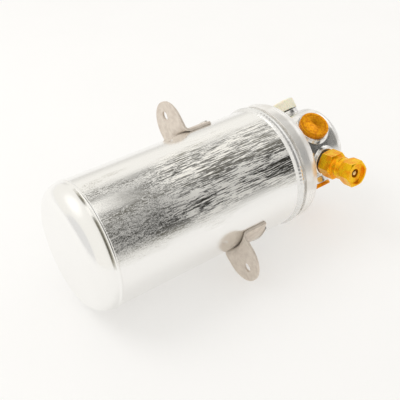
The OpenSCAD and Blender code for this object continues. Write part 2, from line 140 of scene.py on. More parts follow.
class Graph:
    """A node tree that is being filled."""

    def __init__(self, tree: bpy.types.NodeTree) -> None:
        """Empties the tree and keeps it."""
        tree.nodes.clear()
        self.tree = tree

    def node(self, kind: str, settings: Optional[dict] = None, sockets: Optional[dict] = None) -> Wire:
        """Adds one node.

        Args:
            kind: the node's type.
            settings: its own settings, set first.
            sockets: values or links of its inputs, by name or number.

        Returns:
            The node's first output that is in use, or its first one.
        """
        node = self.tree.nodes.new(kind)
        for key, value in (settings or {}).items():
            setattr(node, key, value)
        for key, value in (sockets or {}).items():
            if isinstance(value, Wire):
                self.tree.links.new(value.socket, node.inputs[key])
            else:
                node.inputs[key].default_value = value
        live = [socket for socket in node.outputs if socket.enabled]
        return Wire(self, live[0]) if live else Wire(self, None)

    def place(self, stretch: Sequence[float] = EVEN) -> Wire:
        """Place on the piece in millimetres, in its own axes, scaled along each.

        Args:
            stretch: scale along each of the piece's axes.

        Returns:
            The place, as a vector.
        """
        where = self.node("ShaderNodeTexCoord").out("Object")
        scale = tuple(s / MM for s in stretch)
        return self.node("ShaderNodeVectorMath", {"operation": "MULTIPLY"}, {0: where, 1: scale})

    def noise(self, size: float, detail: float = 3.0, rough: float = 0.55,
              stretch: Sequence[float] = EVEN, vector: Optional[Wire] = None, **more: float) -> Wire:
        """Noise from 0 to 1 over the piece, with features about size millimetres across.

        Args:
            size: width of the features.
            detail: how many finer layers are added.
            rough: how strongly they are added.
            stretch: scale of the place along the piece's axes; below 1 it draws features out.
            vector: a place to use instead.
            more: other sockets of the node.

        Returns:
            The noise.
        """
        sockets = {"Vector": vector or self.place(stretch), "Scale": 1.0 / size, "Detail": detail,
                   "Roughness": rough, **more}
        return self.node("ShaderNodeTexNoise", {}, sockets)

    def ramp(self, value: Wire, low: float, high: float, first: float = 0.0, last: float = 1.0) -> Wire:
        """Maps a value smoothly from low..high to first..last."""
        sockets = {"Value": value, "From Min": low, "From Max": high, "To Min": first, "To Max": last}
        return self.node("ShaderNodeMapRange", {"interpolation_type": "SMOOTHSTEP"}, sockets)

    def mix(self, factor: Value, first: "Tint", second: "Tint", blend: str = "MIX") -> Wire:
        """Mixes two colours; each is a link or a colour.

        Args:
            factor: how much of the second colour shows, from 0 to 1.
            first: the first colour, or a link.
            second: the second colour, or a link.
            blend: how they are blended.

        Returns:
            The mixed colour.
        """
        colours = [c if isinstance(c, Wire) else rgba(c) for c in (first, second)]
        settings = {"data_type": "RGBA", "blend_type": blend, "clamp_factor": True}
        return self.node("ShaderNodeMix", settings, {0: factor, 6: colours[0], 7: colours[1]})

    def scaled(self, colour: Sequence[float], value: Wire) -> Wire:
        """A colour times a value."""
        return self.node("ShaderNodeVectorMath", {"operation": "SCALE"}, {0: tuple(colour), "Scale": value})

    def bump(self, height: Wire, depth: float, normal: Optional[Wire] = None) -> Wire:
        """Turns a height from 0 to 1, depth millimetres deep, into a normal.

        Args:
            height: the height, from 0 for low to 1 for high.
            depth: how deep that is, in millimetres.
            normal: the normal that it is laid over.

        Returns:
            The normal.
        """
        sockets = {"Height": height, "Distance": depth * MM, "Strength": 1.0}
        if normal:
            sockets["Normal"] = normal
        return self.node("ShaderNodeBump", {}, sockets)

    def split(self, vector: Optional[Wire] = None) -> tuple[Wire, Wire, Wire]:
        """X, Y and Z of a vector, or of the place on the piece in millimetres."""
        parts = self.node("ShaderNodeSeparateXYZ", {}, {0: vector or self.place()})
        return parts, parts.out("Y"), parts.out("Z")

    def angle(self, rise: Wire, run: Wire) -> Wire:
        """The angle in radians whose tangent is rise over run."""
        return self.node("ShaderNodeMath", {"operation": "ARCTAN2"}, {0: rise, 1: run})

    def turned_marks(self, pitch: float, drift_size: float = 9.0, drift_share: float = 0.8) -> Wire:
        """Fine rings round the piece's own axis, a millimetre pitch apart, uneven along and across.

        Args:
            pitch: distance between rings, in millimetres.
            drift_size: width of the patches in which they drift.
            drift_share: how far they drift, in pitches.

        Returns:
            Noise in rings, from 0 to 1.
        """
        x, y, z = self.split()
        drift = self.noise(drift_size, 1.0) * (pitch * drift_share)
        rings = self.node("ShaderNodeCombineXYZ", {}, {0: (x * x + y * y) ** 0.5 + drift, 2: z})
        return self.noise(pitch, 2.0, vector=rings)


Tint = Union[Wire, Sequence[float]]


def rgba(colour: Sequence[float]) -> tuple[float, ...]:
    """A colour with its alpha."""
    return (*colour, 1.0)


def material_of(title: str, surface: Callable[[Graph], Wire]) -> bpy.types.Material:
    """A material whose surface is the shader that a function builds in its nodes.

    Args:
        title: the material's name.
        surface: builds the shader in the nodes.

    Returns:
        The material.
    """
    material = bpy.data.materials.new(title)
    material.use_nodes = True
    graph = Graph(material.node_tree)
    graph.node("ShaderNodeOutputMaterial", {}, {"Surface": surface(graph)})
    return material


# ---------------------------------------------------------------- finishes


def painted(colour: Wire, roughness: Value, normal: Wire, **more: Value) -> dict[str, Value]:
    """What a finish paints, by the shader's sockets."""
    return {"Base Color": colour, "Roughness": roughness, "Normal": normal, **more}


@dataclass(frozen=True)
class Finish:
    """What a surface is made of; each kind of surface paints itself on the shader."""

    title: str
    slot: str
    tint: Sequence[float]
    shade: Sequence[float]
    roughness: float = 0.3
    metallic: float = 0.0

    def paint(self, graph: Graph) -> dict[str, Value]:
        """Values and links for the shader's sockets."""
        raise NotImplementedError

    def fixed(self) -> dict[str, float]:
        """Values that are the same all over the surface."""
        return {"Metallic": self.metallic}

    def shader(self, graph: Graph) -> Wire:
        """The shader with this finish painted on it."""
        return graph.node("ShaderNodeBsdfPrincipled", {}, {**self.fixed(), **self.paint(graph)})

    @lru_cache(maxsize=None)
    def material(self) -> bpy.types.Material:
        """The finished material, made once.

        Returns:
            The material; a finish has only one.
        """
        material = material_of(self.title, self.shader)
        material.diffuse_color = rgba(self.tint)
        return material


@dataclass(frozen=True)
class DrawnMetal(Finish):
    """Drawn sheet metal: streaks along the piece and a fine grain."""

    along: Sequence[float] = (1.0, 1.0, 0.06)
    streak: float = 0.5
    streak_depth: float = 0.03
    grain: float = 0.6
    grain_depth: float = 0.006
    wave: float = 16.0
    wave_depth: float = 0.05

    def relief(self, graph: Graph, share: Value = 1.0) -> tuple[Wire, Wire, Wire]:
        """The metal's relief.

        Args:
            graph: the material's nodes.
            share: how strongly the streaks show, from 0 to 1.

        Returns:
            The streaks, the grain and the normal that they make together.
        """
        streaks = graph.noise(self.streak, 4.0, 0.65, stretch=self.along)
        broad = graph.noise(self.streak * 6, 2.0, stretch=self.along)
        grain = graph.noise(self.grain, 3.0, 0.75, stretch=(1.0, 1.0, 0.7))
        waves = graph.noise(self.wave, 1.0, stretch=(1.0, 1.0, 0.4))
        normal = graph.bump(waves, self.wave_depth)
        normal = graph.bump(broad * share, self.streak_depth * 1.4, normal)
        normal = graph.bump(streaks * share, self.streak_depth, normal)
        return streaks, grain, graph.bump(grain * share, self.grain_depth, normal)

    def paint(self, graph: Graph) -> dict[str, Value]:
        """Streaks in the surface, its colour and its gloss.

        Args:
            graph: the material's nodes.

        Returns:
            Values and links for the shader's sockets.
        """
        streaks, grain, normal = self.relief(graph)
        marks = graph.ramp(streaks, 0.5, 0.66)
        colour = graph.mix(marks * 0.4, self.tint, self.shade)
        return painted(colour, self.roughness + 0.1 * marks + 0.05 * grain, normal)


@dataclass(frozen=True)
class RubbedCan(DrawnMetal):
    """The can's metal: smooth at its closed end, rubbed matt in streaks on its upper side.

    Strips round the can are given as where they start and stop and how soft their edges are,
    in degrees; places along it are in millimetres from its closed end.
    """

    scuff: Sequence[float] = (0.97, 0.945, 0.87)
    drawn_from: Sequence[float] = (12.5, 14.5)
    streaky_from: Sequence[float] = (38.0, 72.0)
    bright_end: Sequence[float] = (20.0, 66.0)
    rubbed: Sequence[float] = (176.0, 254.0, 16.0)
    bright: Sequence[float] = (190.0, 214.0, 9.0)
    dull: Sequence[float] = (210.0, 250.0, 12.0)
    cloud_size: float = 10.0
    patch_size: float = 6.0
    thread_size: float = 0.5
    scuff_band: Sequence[float] = (0.47, 0.57)
    stain_band: Sequence[float] = (0.5, 0.38)
    # Where the painted shade line along the corner ring lies, and its half width, in millimetres.
    ring_shade_at: float = 11.6
    ring_shade_half: float = 0.9

    @staticmethod
    def strip(graph: Graph, degrees: Wire, start: float, stop: float, edge: float) -> Wire:
        """1 between two angles round the can, 0 elsewhere, with soft edges."""
        return graph.ramp(degrees, start, start + edge) * (1 - graph.ramp(degrees, stop - edge, stop))

    def rubbing(self, graph: Graph, height: Wire) -> tuple[Wire, Wire]:
        """Where the can is rubbed.

        Args:
            graph: the material's nodes.
            height: distance from the can's closed end.

        Returns:
            How much the metal is rubbed, and how much of that is scuffed matt.
        """
        x, y, _ = graph.split()
        cloud = graph.noise(self.cloud_size, 3.0, stretch=(1.0, 1.0, 0.3)) - 0.5
        degrees = graph.angle(y * -1, x * -1) * (360 / TURN) + 180
        side = self.strip(graph, degrees + 40 * cloud, *self.rubbed)
        bright = self.strip(graph, degrees + 8 * cloud, *self.bright)
        near_end = 1 - graph.ramp(height, *self.bright_end)
        dull = self.strip(graph, degrees + 30 * cloud, *self.dull)
        return side * (1 - 0.9 * (bright * near_end)), 1 - 0.45 * dull

    def paint(self, graph: Graph) -> dict[str, Value]:
        """Scuffs that scatter light, over metal that reflects it, and a painted shade line along the corner ring.

        Args:
            graph: the material's nodes.

        Returns:
            Values and links for the shader's sockets.
        """
        height = graph.split()[2]
        drawn = graph.ramp(height, *self.drawn_from)
        streaky = graph.ramp(height, *self.streaky_from)
        side, share = self.rubbing(graph, height)
        rubbed = side * drawn
        streaks, grain, normal = self.relief(graph, drawn)
        clouds = graph.noise(self.patch_size, 3.0, stretch=(1.0, 1.0, 0.16))
        threads = graph.noise(self.thread_size, 2.0, 0.6, stretch=(1.0, 1.0, 0.045))
        short = graph.noise(self.thread_size, 2.0, 0.7, stretch=(1.0, 1.0, 0.16))
        lines = 0.65 * threads + 0.35 * short
        pattern = lines * streaky + (0.6 * grain + 0.4 * short) * (1 - streaky)
        level = pattern + 0.42 * (clouds - 0.5)
        scuffs = graph.ramp(level, *self.scuff_band) * rubbed * share * (0.46 + 0.54 * streaky)
        stains = graph.ramp(level, *self.stain_band) * rubbed
        colour = graph.mix(scuffs, self.tint, self.scuff)
        colour = graph.mix(stains * 0.8, colour, self.shade)
        # Painted shade: the colour is darkened in a thin line along the corner ring, on the rubbed side only.
        away = (height - self.ring_shade_at) * (1 / self.ring_shade_half)
        crease = graph.ramp(away * away, 0.2, 1.0, 1.0, 0.0) * side * (0.35 + grain)
        colour = graph.mix(crease, colour, self.shade)
        rough = self.roughness + 0.4 * scuffs + 0.04 * grain
        return painted(colour, rough, normal, Metallic=1 - 0.96 * scuffs)


@dataclass(frozen=True)
class TurnedMetal(Finish):
    """Metal turned on a lathe: rings round its axis, tarnish in patches, a few nicks."""

    pitch: float = 0.25
    depth: float = 0.004
    patch_size: float = 5.0
    dimple_size: float = 0.6
    dimple_depth: float = 0.01
    tarnish_band: Sequence[float] = (0.38, 0.66)
    ring_band: Sequence[float] = (0.55, 0.85)

    def paint(self, graph: Graph) -> dict[str, Value]:
        """Rings in the surface and the roughness, tarnish in the colour.

        Args:
            graph: the material's nodes.

        Returns:
            Values and links for the shader's sockets.
        """
        rings = graph.turned_marks(self.pitch)
        patches = graph.noise(self.patch_size, 3.0)
        fine = graph.noise(self.dimple_size, 2.0, 0.65)
        tarnish = graph.ramp(patches + 0.25 * (fine - 0.5), *self.tarnish_band)
        colour = graph.mix(tarnish, self.tint, self.shade)
        colour = graph.mix(graph.ramp(rings, *self.ring_band) * 0.3, colour, self.shade)
        normal = graph.bump(fine, self.dimple_depth)
        normal = graph.bump(rings, self.depth, normal)
        rough = self.roughness + 0.1 * tarnish + 0.08 * rings
        return painted(colour, rough, normal)


@dataclass(frozen=True)
class WeldMetal(Finish):
    """Metal that has run and frozen: pitted, bright, with a little soot in its hollows."""

    pit: float = 0.7
    pit_depth: float = 0.02
    lump: float = 3.0
    lump_depth: float = 0.08

    def paint(self, graph: Graph) -> dict[str, Value]:
        """Pits and soft lumps.

        Args:
            graph: the material's nodes.

        Returns:
            Values and links for the shader's sockets.
        """
        lumps = graph.noise(self.lump, 2.0)
        pits = graph.node("ShaderNodeTexVoronoi", {}, {"Vector": graph.place(), "Scale": 1 / self.pit})
        hollow = graph.ramp(pits, 0.05, 0.35)
        normal = graph.bump(hollow, self.pit_depth, graph.bump(lumps, self.lump_depth))
        colour = graph.mix(hollow * (0.6 + 0.4 * lumps), self.shade, self.tint)
        return painted(colour, self.roughness + 0.12 * (1 - hollow), normal)


@dataclass(frozen=True)
class PlatedSheet(Finish):
    """Dull plated sheet metal with rolling grain, spangle and handling marks."""

    grain: float = 0.35
    grain_depth: float = 0.012
    cloud: float = 4.0
    spangle_depth: float = 0.03
    handled: Sequence[float] = (0.9, 0.86, 0.8)

    def paint(self, graph: Graph) -> dict[str, Value]:
        """Rolling grain and cloudy plating.

        Args:
            graph: the material's nodes.

        Returns:
            Values and links for the shader's sockets.
        """
        clouds = graph.noise(self.cloud, 4.0, 0.6)
        grain = graph.noise(self.grain, 3.0, 0.7, stretch=(1.0, 1.0, 0.25))
        cells = graph.node("ShaderNodeTexVoronoi", {"feature": "SMOOTH_F1"},
                           {"Vector": graph.place(), "Scale": 0.6, "Smoothness": 0.6})
        scuffs = graph.ramp(graph.noise(0.8, 2.0, stretch=(0.2, 1.0, 1.0)), 0.6, 0.78)
        colour = graph.mix(graph.ramp(clouds, 0.3, 0.7), self.tint, self.shade)
        colour = graph.mix(scuffs * 0.5, colour, self.handled)
        rough = self.roughness + 0.16 * (clouds - 0.5) - 0.12 * scuffs
        normal = graph.bump(grain, self.grain_depth, graph.bump(cells, self.spangle_depth))
        return painted(colour, rough, normal)


@dataclass(frozen=True)
class Moulded(Finish):
    """Moulded plastic or rubber: fine skin texture, slightly uneven gloss."""

    skin: float = 0.4
    skin_depth: float = 0.01
    see_through: float = 0.0

    def fixed(self) -> dict[str, float]:
        """Light that soaks into the plastic."""
        return {"Metallic": 0.0, "Subsurface Weight": self.see_through, "Subsurface Scale": 2 * MM}

    def paint(self, graph: Graph) -> dict[str, Value]:
        """Skin texture and faint mottling.

        Args:
            graph: the material's nodes.

        Returns:
            Values and links for the shader's sockets.
        """
        skin = graph.noise(self.skin, 3.0, 0.6)
        cloud = graph.noise(5.0, 2.0)
        colour = graph.mix(graph.ramp(cloud, 0.3, 0.7), self.tint, self.shade)
        rough = self.roughness + 0.14 * (skin - 0.5)
        return painted(colour, rough, graph.bump(skin, self.skin_depth))


@dataclass(frozen=True)
class Woven(Finish):
    """A fine strainer cloth: crossing threads round the piece's own axis."""

    threads_per_turn: float = 150.0
    thread_pitch: float = 0.4
    cloth_depth: float = 0.12

    def paint(self, graph: Graph) -> dict[str, Value]:
        """Two crossing sets of threads.

        Args:
            graph: the material's nodes.

        Returns:
            Values and links for the shader's sockets.
        """
        x, y, z = graph.split()
        sine = {"operation": "SINE"}
        warp = graph.node("ShaderNodeMath", sine, {0: graph.angle(y, x) * self.threads_per_turn})
        weft = graph.node("ShaderNodeMath", sine, {0: z * (TURN / self.thread_pitch)})
        cloth = 0.5 + 0.25 * (warp + weft)
        colour = graph.mix(graph.ramp(cloth, 0.3, 0.7), self.shade, self.tint)
        return painted(colour, self.roughness + 0.2 * cloth, graph.bump(cloth, self.cloth_depth))


@dataclass(frozen=True)
class Fibrous(Finish):
    """Felted fibre or bonded beads: soft, matt and uneven."""

    fibre: float = 0.35
    fibre_depth: float = 0.12

    def paint(self, graph: Graph) -> dict[str, Value]:
        """Tangled fibres, lighter and darker in clouds.

        Args:
            graph: the material's nodes.

        Returns:
            Values and links for the shader's sockets.
        """
        fibres = graph.noise(self.fibre, 6.0, 0.75, Distortion=1.8)
        cloud = graph.noise(6.0, 2.0)
        colour = graph.mix(graph.ramp(fibres + 0.3 * (cloud - 0.5), 0.3, 0.7), self.shade, self.tint)
        return painted(colour, self.roughness + 0.1 * fibres, graph.bump(fibres, self.fibre_depth))


CAN_METAL = RubbedCan("drawn_aluminium", "can", (0.93, 0.925, 0.91), (0.3, 0.28, 0.21), 0.16, 1.0)
DOME_METAL = TurnedMetal("polished_dome", "dome", (0.93, 0.915, 0.89), (0.8, 0.78, 0.74), 0.24, 0.6,
                         pitch=0.45, depth=0.006, patch_size=9.0)
HEAD_METAL = TurnedMetal("polished_head", "head", (0.92, 0.915, 0.9), (0.78, 0.77, 0.75), 0.12, 1.0,
                         pitch=0.5, depth=0.004, patch_size=7.0, dimple_depth=0.016)
WELD_METAL = WeldMetal("weld_bead", "weld", (0.93, 0.925, 0.91), (0.55, 0.54, 0.52), 0.2, 0.7)
PLUG_METAL = TurnedMetal("amber_chromate", "plug", (0.95, 0.4, 0.003), (0.72, 0.22, 0.001), 0.24, 0.85,
                         pitch=0.3, depth=0.006, patch_size=1.4, dimple_depth=0.012)
FITTING_METAL = TurnedMetal("golden_chromate", "fitting", (1.0, 0.58, 0.003), (0.93, 0.36, 0.001), 0.2,
                            0.72, pitch=0.25, depth=0.005, patch_size=4.0)
CORE_METAL = TurnedMetal("core_brass", "core", (0.62, 0.38, 0.12), (0.35, 0.2, 0.06), 0.3, 1.0, pitch=0.15)
PIN_METAL = TurnedMetal("pin_brass", "pin", (0.93, 0.68, 0.32), (0.7, 0.45, 0.16), 0.2, 1.0, pitch=0.1)
TUBE_METAL = DrawnMetal("drawn_tube", "tube", (0.8, 0.8, 0.8), (0.5, 0.5, 0.5), 0.28, 1.0,
                        streak_depth=0.01, wave_depth=0.01)
SPRING_METAL = TurnedMetal("drawn_wire", "spring", (0.62, 0.62, 0.64), (0.4, 0.39, 0.38), 0.28, 1.0,
                           pitch=0.3, patch_size=2.0)
PLATE_METAL = PlatedSheet("pressed_steel", "plate", (0.66, 0.66, 0.67), (0.48, 0.48, 0.5), 0.34, 1.0)
TAB_METAL = PlatedSheet("plated_sheet", "tab", (0.77, 0.69, 0.6), (0.64, 0.56, 0.48), 0.42, 0.45)
EDGE_METAL = PlatedSheet("cut_edge", "tab", (0.93, 0.9, 0.86), (0.6, 0.56, 0.52), 0.28, 0.8)
RUBBER = Moulded("nitrile_rubber", "seal", (0.022, 0.022, 0.024), (0.035, 0.035, 0.036), 0.45, skin=0.3)
CORE_PLASTIC = Moulded("core_seal_plastic", "core_seal", (0.86, 0.84, 0.78), (0.78, 0.76, 0.7), 0.4,
                       skin=0.2)
CAP_PLASTIC = Moulded("cap_plastic", "cap", (0.96, 0.92, 0.76), (0.94, 0.88, 0.66), 0.38, see_through=0.12)
SCREEN_CLOTH = Woven("strainer_cloth", "screen", (0.6, 0.7, 0.6), (0.25, 0.32, 0.27), 0.45)
FELT = Fibrous("fibre_felt", "felt", (0.88, 0.85, 0.78), (0.62, 0.58, 0.5), 0.85)
BEAD_STONE = Fibrous("bead_stone", "desiccant", (0.78, 0.69, 0.54), (0.55, 0.46, 0.34), 0.75,
                     fibre=0.5, fibre_depth=0.05)


# ---------------------------------------------------------------- the frame's measures


class Way(Enum):
    """Which way a piece's own X axis points, seen in the frame."""

    ALONG = (1.0, 0.0, 0.0)
    DOWN = (0.0, 0.0, -1.0)


@dataclass(frozen=True)
class Axis:
    """A line that turned pieces are built round, with its own Z along it."""

    origin: Sequence[float]
    direction: Sequence[float]
    way: Way

    def matrix(self) -> Matrix:
        """Where a piece that is built round its own Z axis goes.

        Returns:
            The matrix from the piece's own place to the frame's.
        """
        z = Vector(self.direction).normalized()
        x = Vector(self.way.value)
        x = (x - z * x.dot(z)).normalized()
        turn = Matrix((x, z.cross(x), z)).transposed().to_4x4()
        return Matrix.Translation(Vector(self.origin)) @ turn

    def local(self, node: str) -> list[Vector]:
        """A CAD node's points in this axis's own frame, in millimetres."""
        back = self.matrix().inverted()
        return [back @ v.co / MM for v in frame["nodes"][node].data.vertices]

    def span(self, node: str) -> tuple[float, float]:
        """Lowest and highest place of a CAD node along the axis, in millimetres."""
        heights = [p.z for p in self.local(node)]
        return min(heights), max(heights)

    def radius(self, node: str) -> float:
        """How far a CAD node reaches out from the axis, in millimetres."""
        return max(math.hypot(p.x, p.y) for p in self.local(node))

    def bore(self, node: str) -> float:
        """How near to the axis a CAD node comes, in millimetres."""
        return min(math.hypot(p.x, p.y) for p in self.local(node))


def joint_axis(name: str) -> Vector:
    """The axis of a named joint of the record."""
    return Vector(next(j["axis"] for j in frame["joints"] if j["name"] == name))


def mount_place(name: str) -> Vector:
    """The place of a named mount of the record."""
    return Vector(next(m["pos_m"] for m in frame["record"]["mounts"] if m["name"] == name))


CAN_AXIS = Axis((0, 0, 0), (1, 0, 0), Way.DOWN)


def port_axis(joint: str, sign: float = 1.0) -> Axis:
    """The axis of a port, from the joint of the piece that moves in it.

    Args:
        joint: the name of that piece's joint.
        sign: -1 where the joint moves inwards.

    Returns:
        The axis from the can's axis outwards through the port.
    """
    piece = next(j["child"] for j in frame["joints"] if j["name"] == joint)
    node = frame["record"]["behaviour"]["bodies"][piece][0]
    low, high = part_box(node)
    return Axis(((low.x + high.x) / 2, 0, 0), tuple(joint_axis(joint) * sign), Way.ALONG)


INLET_AXIS = port_axis("inlet_plug_pull")
OUTLET_AXIS = port_axis("outlet_plug_pull")
SERVICE_AXIS = port_axis("valve_press", -1.0)
REAR_AXIS = port_axis("rear_cap_pull")


# ---------------------------------------------------------------- mesh work


def rounded(corners: Iterable[Corner], steps: int = 5) -> list[Point]:
    """Rounds the corners of a closed outline.

    Args:
        corners: (radius, height) or (radius, height, rounding) of each corner, in millimetres.
        steps: how many pieces an arc has.

    Returns:
        The outline's points, with arcs for the corners that have a rounding.
    """
    corners = [tuple(c) for c in corners]
    spots = [complex(c[0], c[1]) for c in corners]
    points: list[Point] = []
    for i, corner in enumerate(corners):
        here = spots[i]
        back = spots[i - 1] - here
        ahead = spots[(i + 1) % len(spots)] - here
        size = corner[2] if len(corner) > 2 else 0.0
        if size <= 0 or min(abs(back), abs(ahead)) < 1e-9:
            points.append((here.real, here.imag))
            continue
        back, reach_back = back / abs(back), abs(back)
        ahead, reach_ahead = ahead / abs(ahead), abs(ahead)
        half = abs(cmath.phase(ahead / back)) / 2
        cut = min(size / math.tan(half), 0.499 * reach_back, 0.499 * reach_ahead)
        if abs(math.cos(half)) < 1e-6:
            points.append((here.real, here.imag))
            continue
        middle = (back + ahead) / abs(back + ahead)
        centre = here + middle * cut / math.cos(half)
        start = here + back * cut - centre
        sweep = cmath.phase((here + ahead * cut - centre) / start)
        for k in range(steps + 1):
            spot = centre + start * cmath.exp(1j * sweep * k / steps)
            points.append((spot.real, spot.imag))
    return points


def arc(centre: Point, radius: float, start: float, stop: float, steps: int) -> list[Point]:
    """Points of an arc in a turned outline, from one angle to another in degrees."""
    angles = [math.radians(start + (stop - start) * k / steps) for k in range(steps + 1)]
    return [(centre[0] + radius * math.cos(a), centre[1] + radius * math.sin(a)) for a in angles]


def finished_mesh(bm: bmesh.types.BMesh, name: str, sharp: float = 38.0) -> bpy.types.Mesh:
    """Closes a mesh's making: outward normals, smooth faces and sharp edges.

    Args:
        bm: the mesh that was built; it is freed.
        name: the new mesh's name.
        sharp: the angle in degrees from which an edge stays sharp.

    Returns:
        The new mesh.
    """
    bmesh.ops.recalc_face_normals(bm, faces=bm.faces)
    for face in bm.faces:
        face.smooth = True
    for edge in bm.edges:
        if len(edge.link_faces) == 2 and edge.calc_face_angle(0.0) > math.radians(sharp):
            edge.smooth = False
    mesh = bpy.data.meshes.new(name)
    bm.to_mesh(mesh)
    bm.free()
    return mesh


def turned(outline: Sequence[Point], segments: int, shape: Optional[Shape]) -> bmesh.types.BMesh:
    """Turns a closed outline about Z.

    Args:
        outline: (radius, height) points in millimetres.
        segments: how many steps a turn has.
        shape: gives the radius at a (radius, height, angle), for ribs, threads and flats.

    Returns:
        A closed mesh in metres.
    """
    bm = bmesh.new()
    rings = []
    for radius, height in outline:
        if radius < 1e-6:
            rings.append([bm.verts.new((0.0, 0.0, height * MM))])
            continue
        ring = []
        for k in range(segments):
            angle = TURN * k / segments
            reach = (shape(radius, height, angle) if shape else radius) * MM
            ring.append(bm.verts.new((reach * math.cos(angle), reach * math.sin(angle), height * MM)))
        rings.append(ring)
    for first, second in zip(rings, rings[1:] + rings[:1]):
        if len(first) == 1 and len(second) == 1:
            continue
        for k in range(segments):
            n = (k + 1) % segments
            quad = [first[k % len(first)], first[n % len(first)],
                    second[n % len(second)], second[k % len(second)]]
            bm.faces.new(list(dict.fromkeys(quad)))
    return bm


def thread_cut(height: float, angle: float, pitch: float, depth: float) -> float:
    """How deep a thread cuts at a height and an angle."""
    return depth * (1 - abs(2 * ((height / pitch - angle / TURN) % 1.0) - 1))


def stepped(radius: float, start: float, stop: float, step: float) -> list[Point]:
    """Points a step apart up a cylinder, for a thread to be cut in."""
    return [(radius, start + i * step) for i in range(int((stop - start) / step))]


def coil_mesh(name: str, mean_r: float, wire_r: float, span: Point, turns: float,
              sides: int = 14, steps: int = 48) -> bpy.types.Mesh:
    """A compression spring with closed ends.

    Args:
        name: the mesh's name.
        mean_r: radius of the wire's centre line, in millimetres.
        wire_r: radius of the wire.
        span: lowest and highest place of the spring.
        turns: how many turns the wire makes.
        sides: sides of the wire.
        steps: rings of vertices in a turn.

    Returns:
        A closed mesh round Z.
    """
    bm = bmesh.new()
    count = int(turns * steps)
    low, high = span[0] + wire_r, span[1] - wire_r
    rings = []
    for i in range(count + 1):
        share = i / count
        eased = share - math.sin(TURN * share) / TURN * 0.55
        angle = TURN * turns * share
        height = low + (high - low) * eased
        ring = []
        for k in range(sides):
            around = TURN * k / sides
            reach = mean_r + wire_r * math.cos(around)
            ring.append(bm.verts.new((reach * math.cos(angle) * MM, reach * math.sin(angle) * MM,
                                      (height + wire_r * math.sin(around)) * MM)))
        rings.append(ring)
    for first, second in zip(rings, rings[1:]):
        for k in range(sides):
            n = (k + 1) % sides
            bm.faces.new((first[k], first[n], second[n], second[k]))
    bm.faces.new(rings[0])
    bm.faces.new(rings[-1])
    return finished_mesh(bm, name)


def refined(node: str, bevel: float, steps: int = 3, axis: Optional[Axis] = None) -> bpy.types.Mesh:
    """A copy of a CAD node with its edges broken.

    Args:
        node: the CAD node's name.
        bevel: width of the broken edges, in millimetres.
        steps: how many pieces a broken edge has.
        axis: the axis that the mesh is brought to; None leaves it in the frame's own place.

    Returns:
        The new mesh.
    """
    bm = bmesh.new()
    bm.from_mesh(frame["nodes"][node].data)
    bmesh.ops.remove_doubles(bm, verts=bm.verts, dist=2e-6)
    flat = math.radians(0.4)
    bmesh.ops.dissolve_limit(bm, angle_limit=flat, verts=bm.verts, edges=bm.edges, delimit={"NORMAL"})
    crease = math.radians(40)
    edges = [e for e in bm.edges if len(e.link_faces) == 2 and e.calc_face_angle(0.0) > crease]
    bmesh.ops.bevel(bm, geom=edges, offset=bevel * MM, offset_type="OFFSET", segments=steps,
                    profile=0.5, affect="EDGES", clamp_overlap=True)
    if axis:
        bm.transform(axis.matrix().inverted())
    return finished_mesh(bm, f"fine_{node}")


def placed(name: str, data: bpy.types.ID) -> bpy.types.Object:
    """A new object in the scene.

    Args:
        name: its name.
        data: its mesh, lamp or camera data.

    Returns:
        The object.
    """
    thing = bpy.data.objects.new(name, data)
    bpy.context.scene.collection.objects.link(thing)
    return thing


def aimed(thing: bpy.types.Object, place: Vector, target: Vector) -> None:
    """Puts a lamp or a camera in its place, looking at a target.

    Args:
        thing: the lamp or camera.
        place: where it goes.
        target: what it looks at.
    """
    thing.location = place
    thing.rotation_mode = "QUATERNION"
    thing.rotation_quaternion = (target - place).to_track_quat("-Z", "Y")


def add_piece(name: str, mesh: bpy.types.Mesh, body: str, finishes: Sequence[Finish],
              axis: Optional[Axis] = None, replaces: Sequence[str] = ()) -> bpy.types.Object:
    """Puts a finished mesh in the scene.

    Args:
        name: the piece's name.
        mesh: its mesh.
        body: the CAD body that it rides on.
        finishes: one finish, or one for each material index.
        axis: where the mesh goes; None if it is already in place.
        replaces: the CAD nodes that it stands for.

    Returns:
        The new object.
    """
    if CAD_NORMALS in mesh.attributes:
        mesh.attributes.remove(mesh.attributes[CAD_NORMALS])
    mesh.materials.clear()
    for finish in finishes:
        mesh.materials.append(finish.material())
    piece = placed(name, mesh)
    if axis:
        piece.matrix_world = axis.matrix()
    weighted = piece.modifiers.new("weighted", "WEIGHTED_NORMAL")
    weighted.keep_sharp = True
    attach(piece, body)
    if replaces:
        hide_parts(*replaces)
    log.info("%s: %d faces on body %s, for %s", name, len(mesh.polygons), body, ", ".join(replaces))
    return piece


def add_turned(name: str, node: str, outline: Sequence[Point], finish: Finish, axis: Axis,
               segments: int = 96, shape: Optional[Shape] = None, body: str = "can",
               sharp: float = 38.0) -> bpy.types.Object:
    """Turns an outline about an axis and puts it in the scene in place of a CAD node.

    Args:
        name: the piece's name.
        node: the CAD node that it stands for.
        outline: (radius, height) points in millimetres.
        finish: what it is made of.
        axis: the axis that it is turned about.
        segments: how many steps a turn has.
        shape: gives the radius at a (radius, height, angle), for ribs, threads and flats.
        body: the CAD body that it rides on.
        sharp: the angle in degrees from which an edge stays sharp.

    Returns:
        The new object.
    """
    mesh = finished_mesh(turned(outline, segments, shape), f"fine_{node}", sharp)
    return add_piece(name, mesh, body, [finish], axis, [node])


def dress_node(node: str, finish: Finish) -> None:
    """Gives a CAD node that stays in view its finish.

    Args:
        node: the CAD node's name.
        finish: what it is made of.
    """
    shown = frame["nodes"][node]
    shown.data.materials.clear()
    shown.data.materials.append(finish.material())
    log.info("%s: kept as it is, in %s", node, finish.title)


# ---------------------------------------------------------------- sub-assemblies


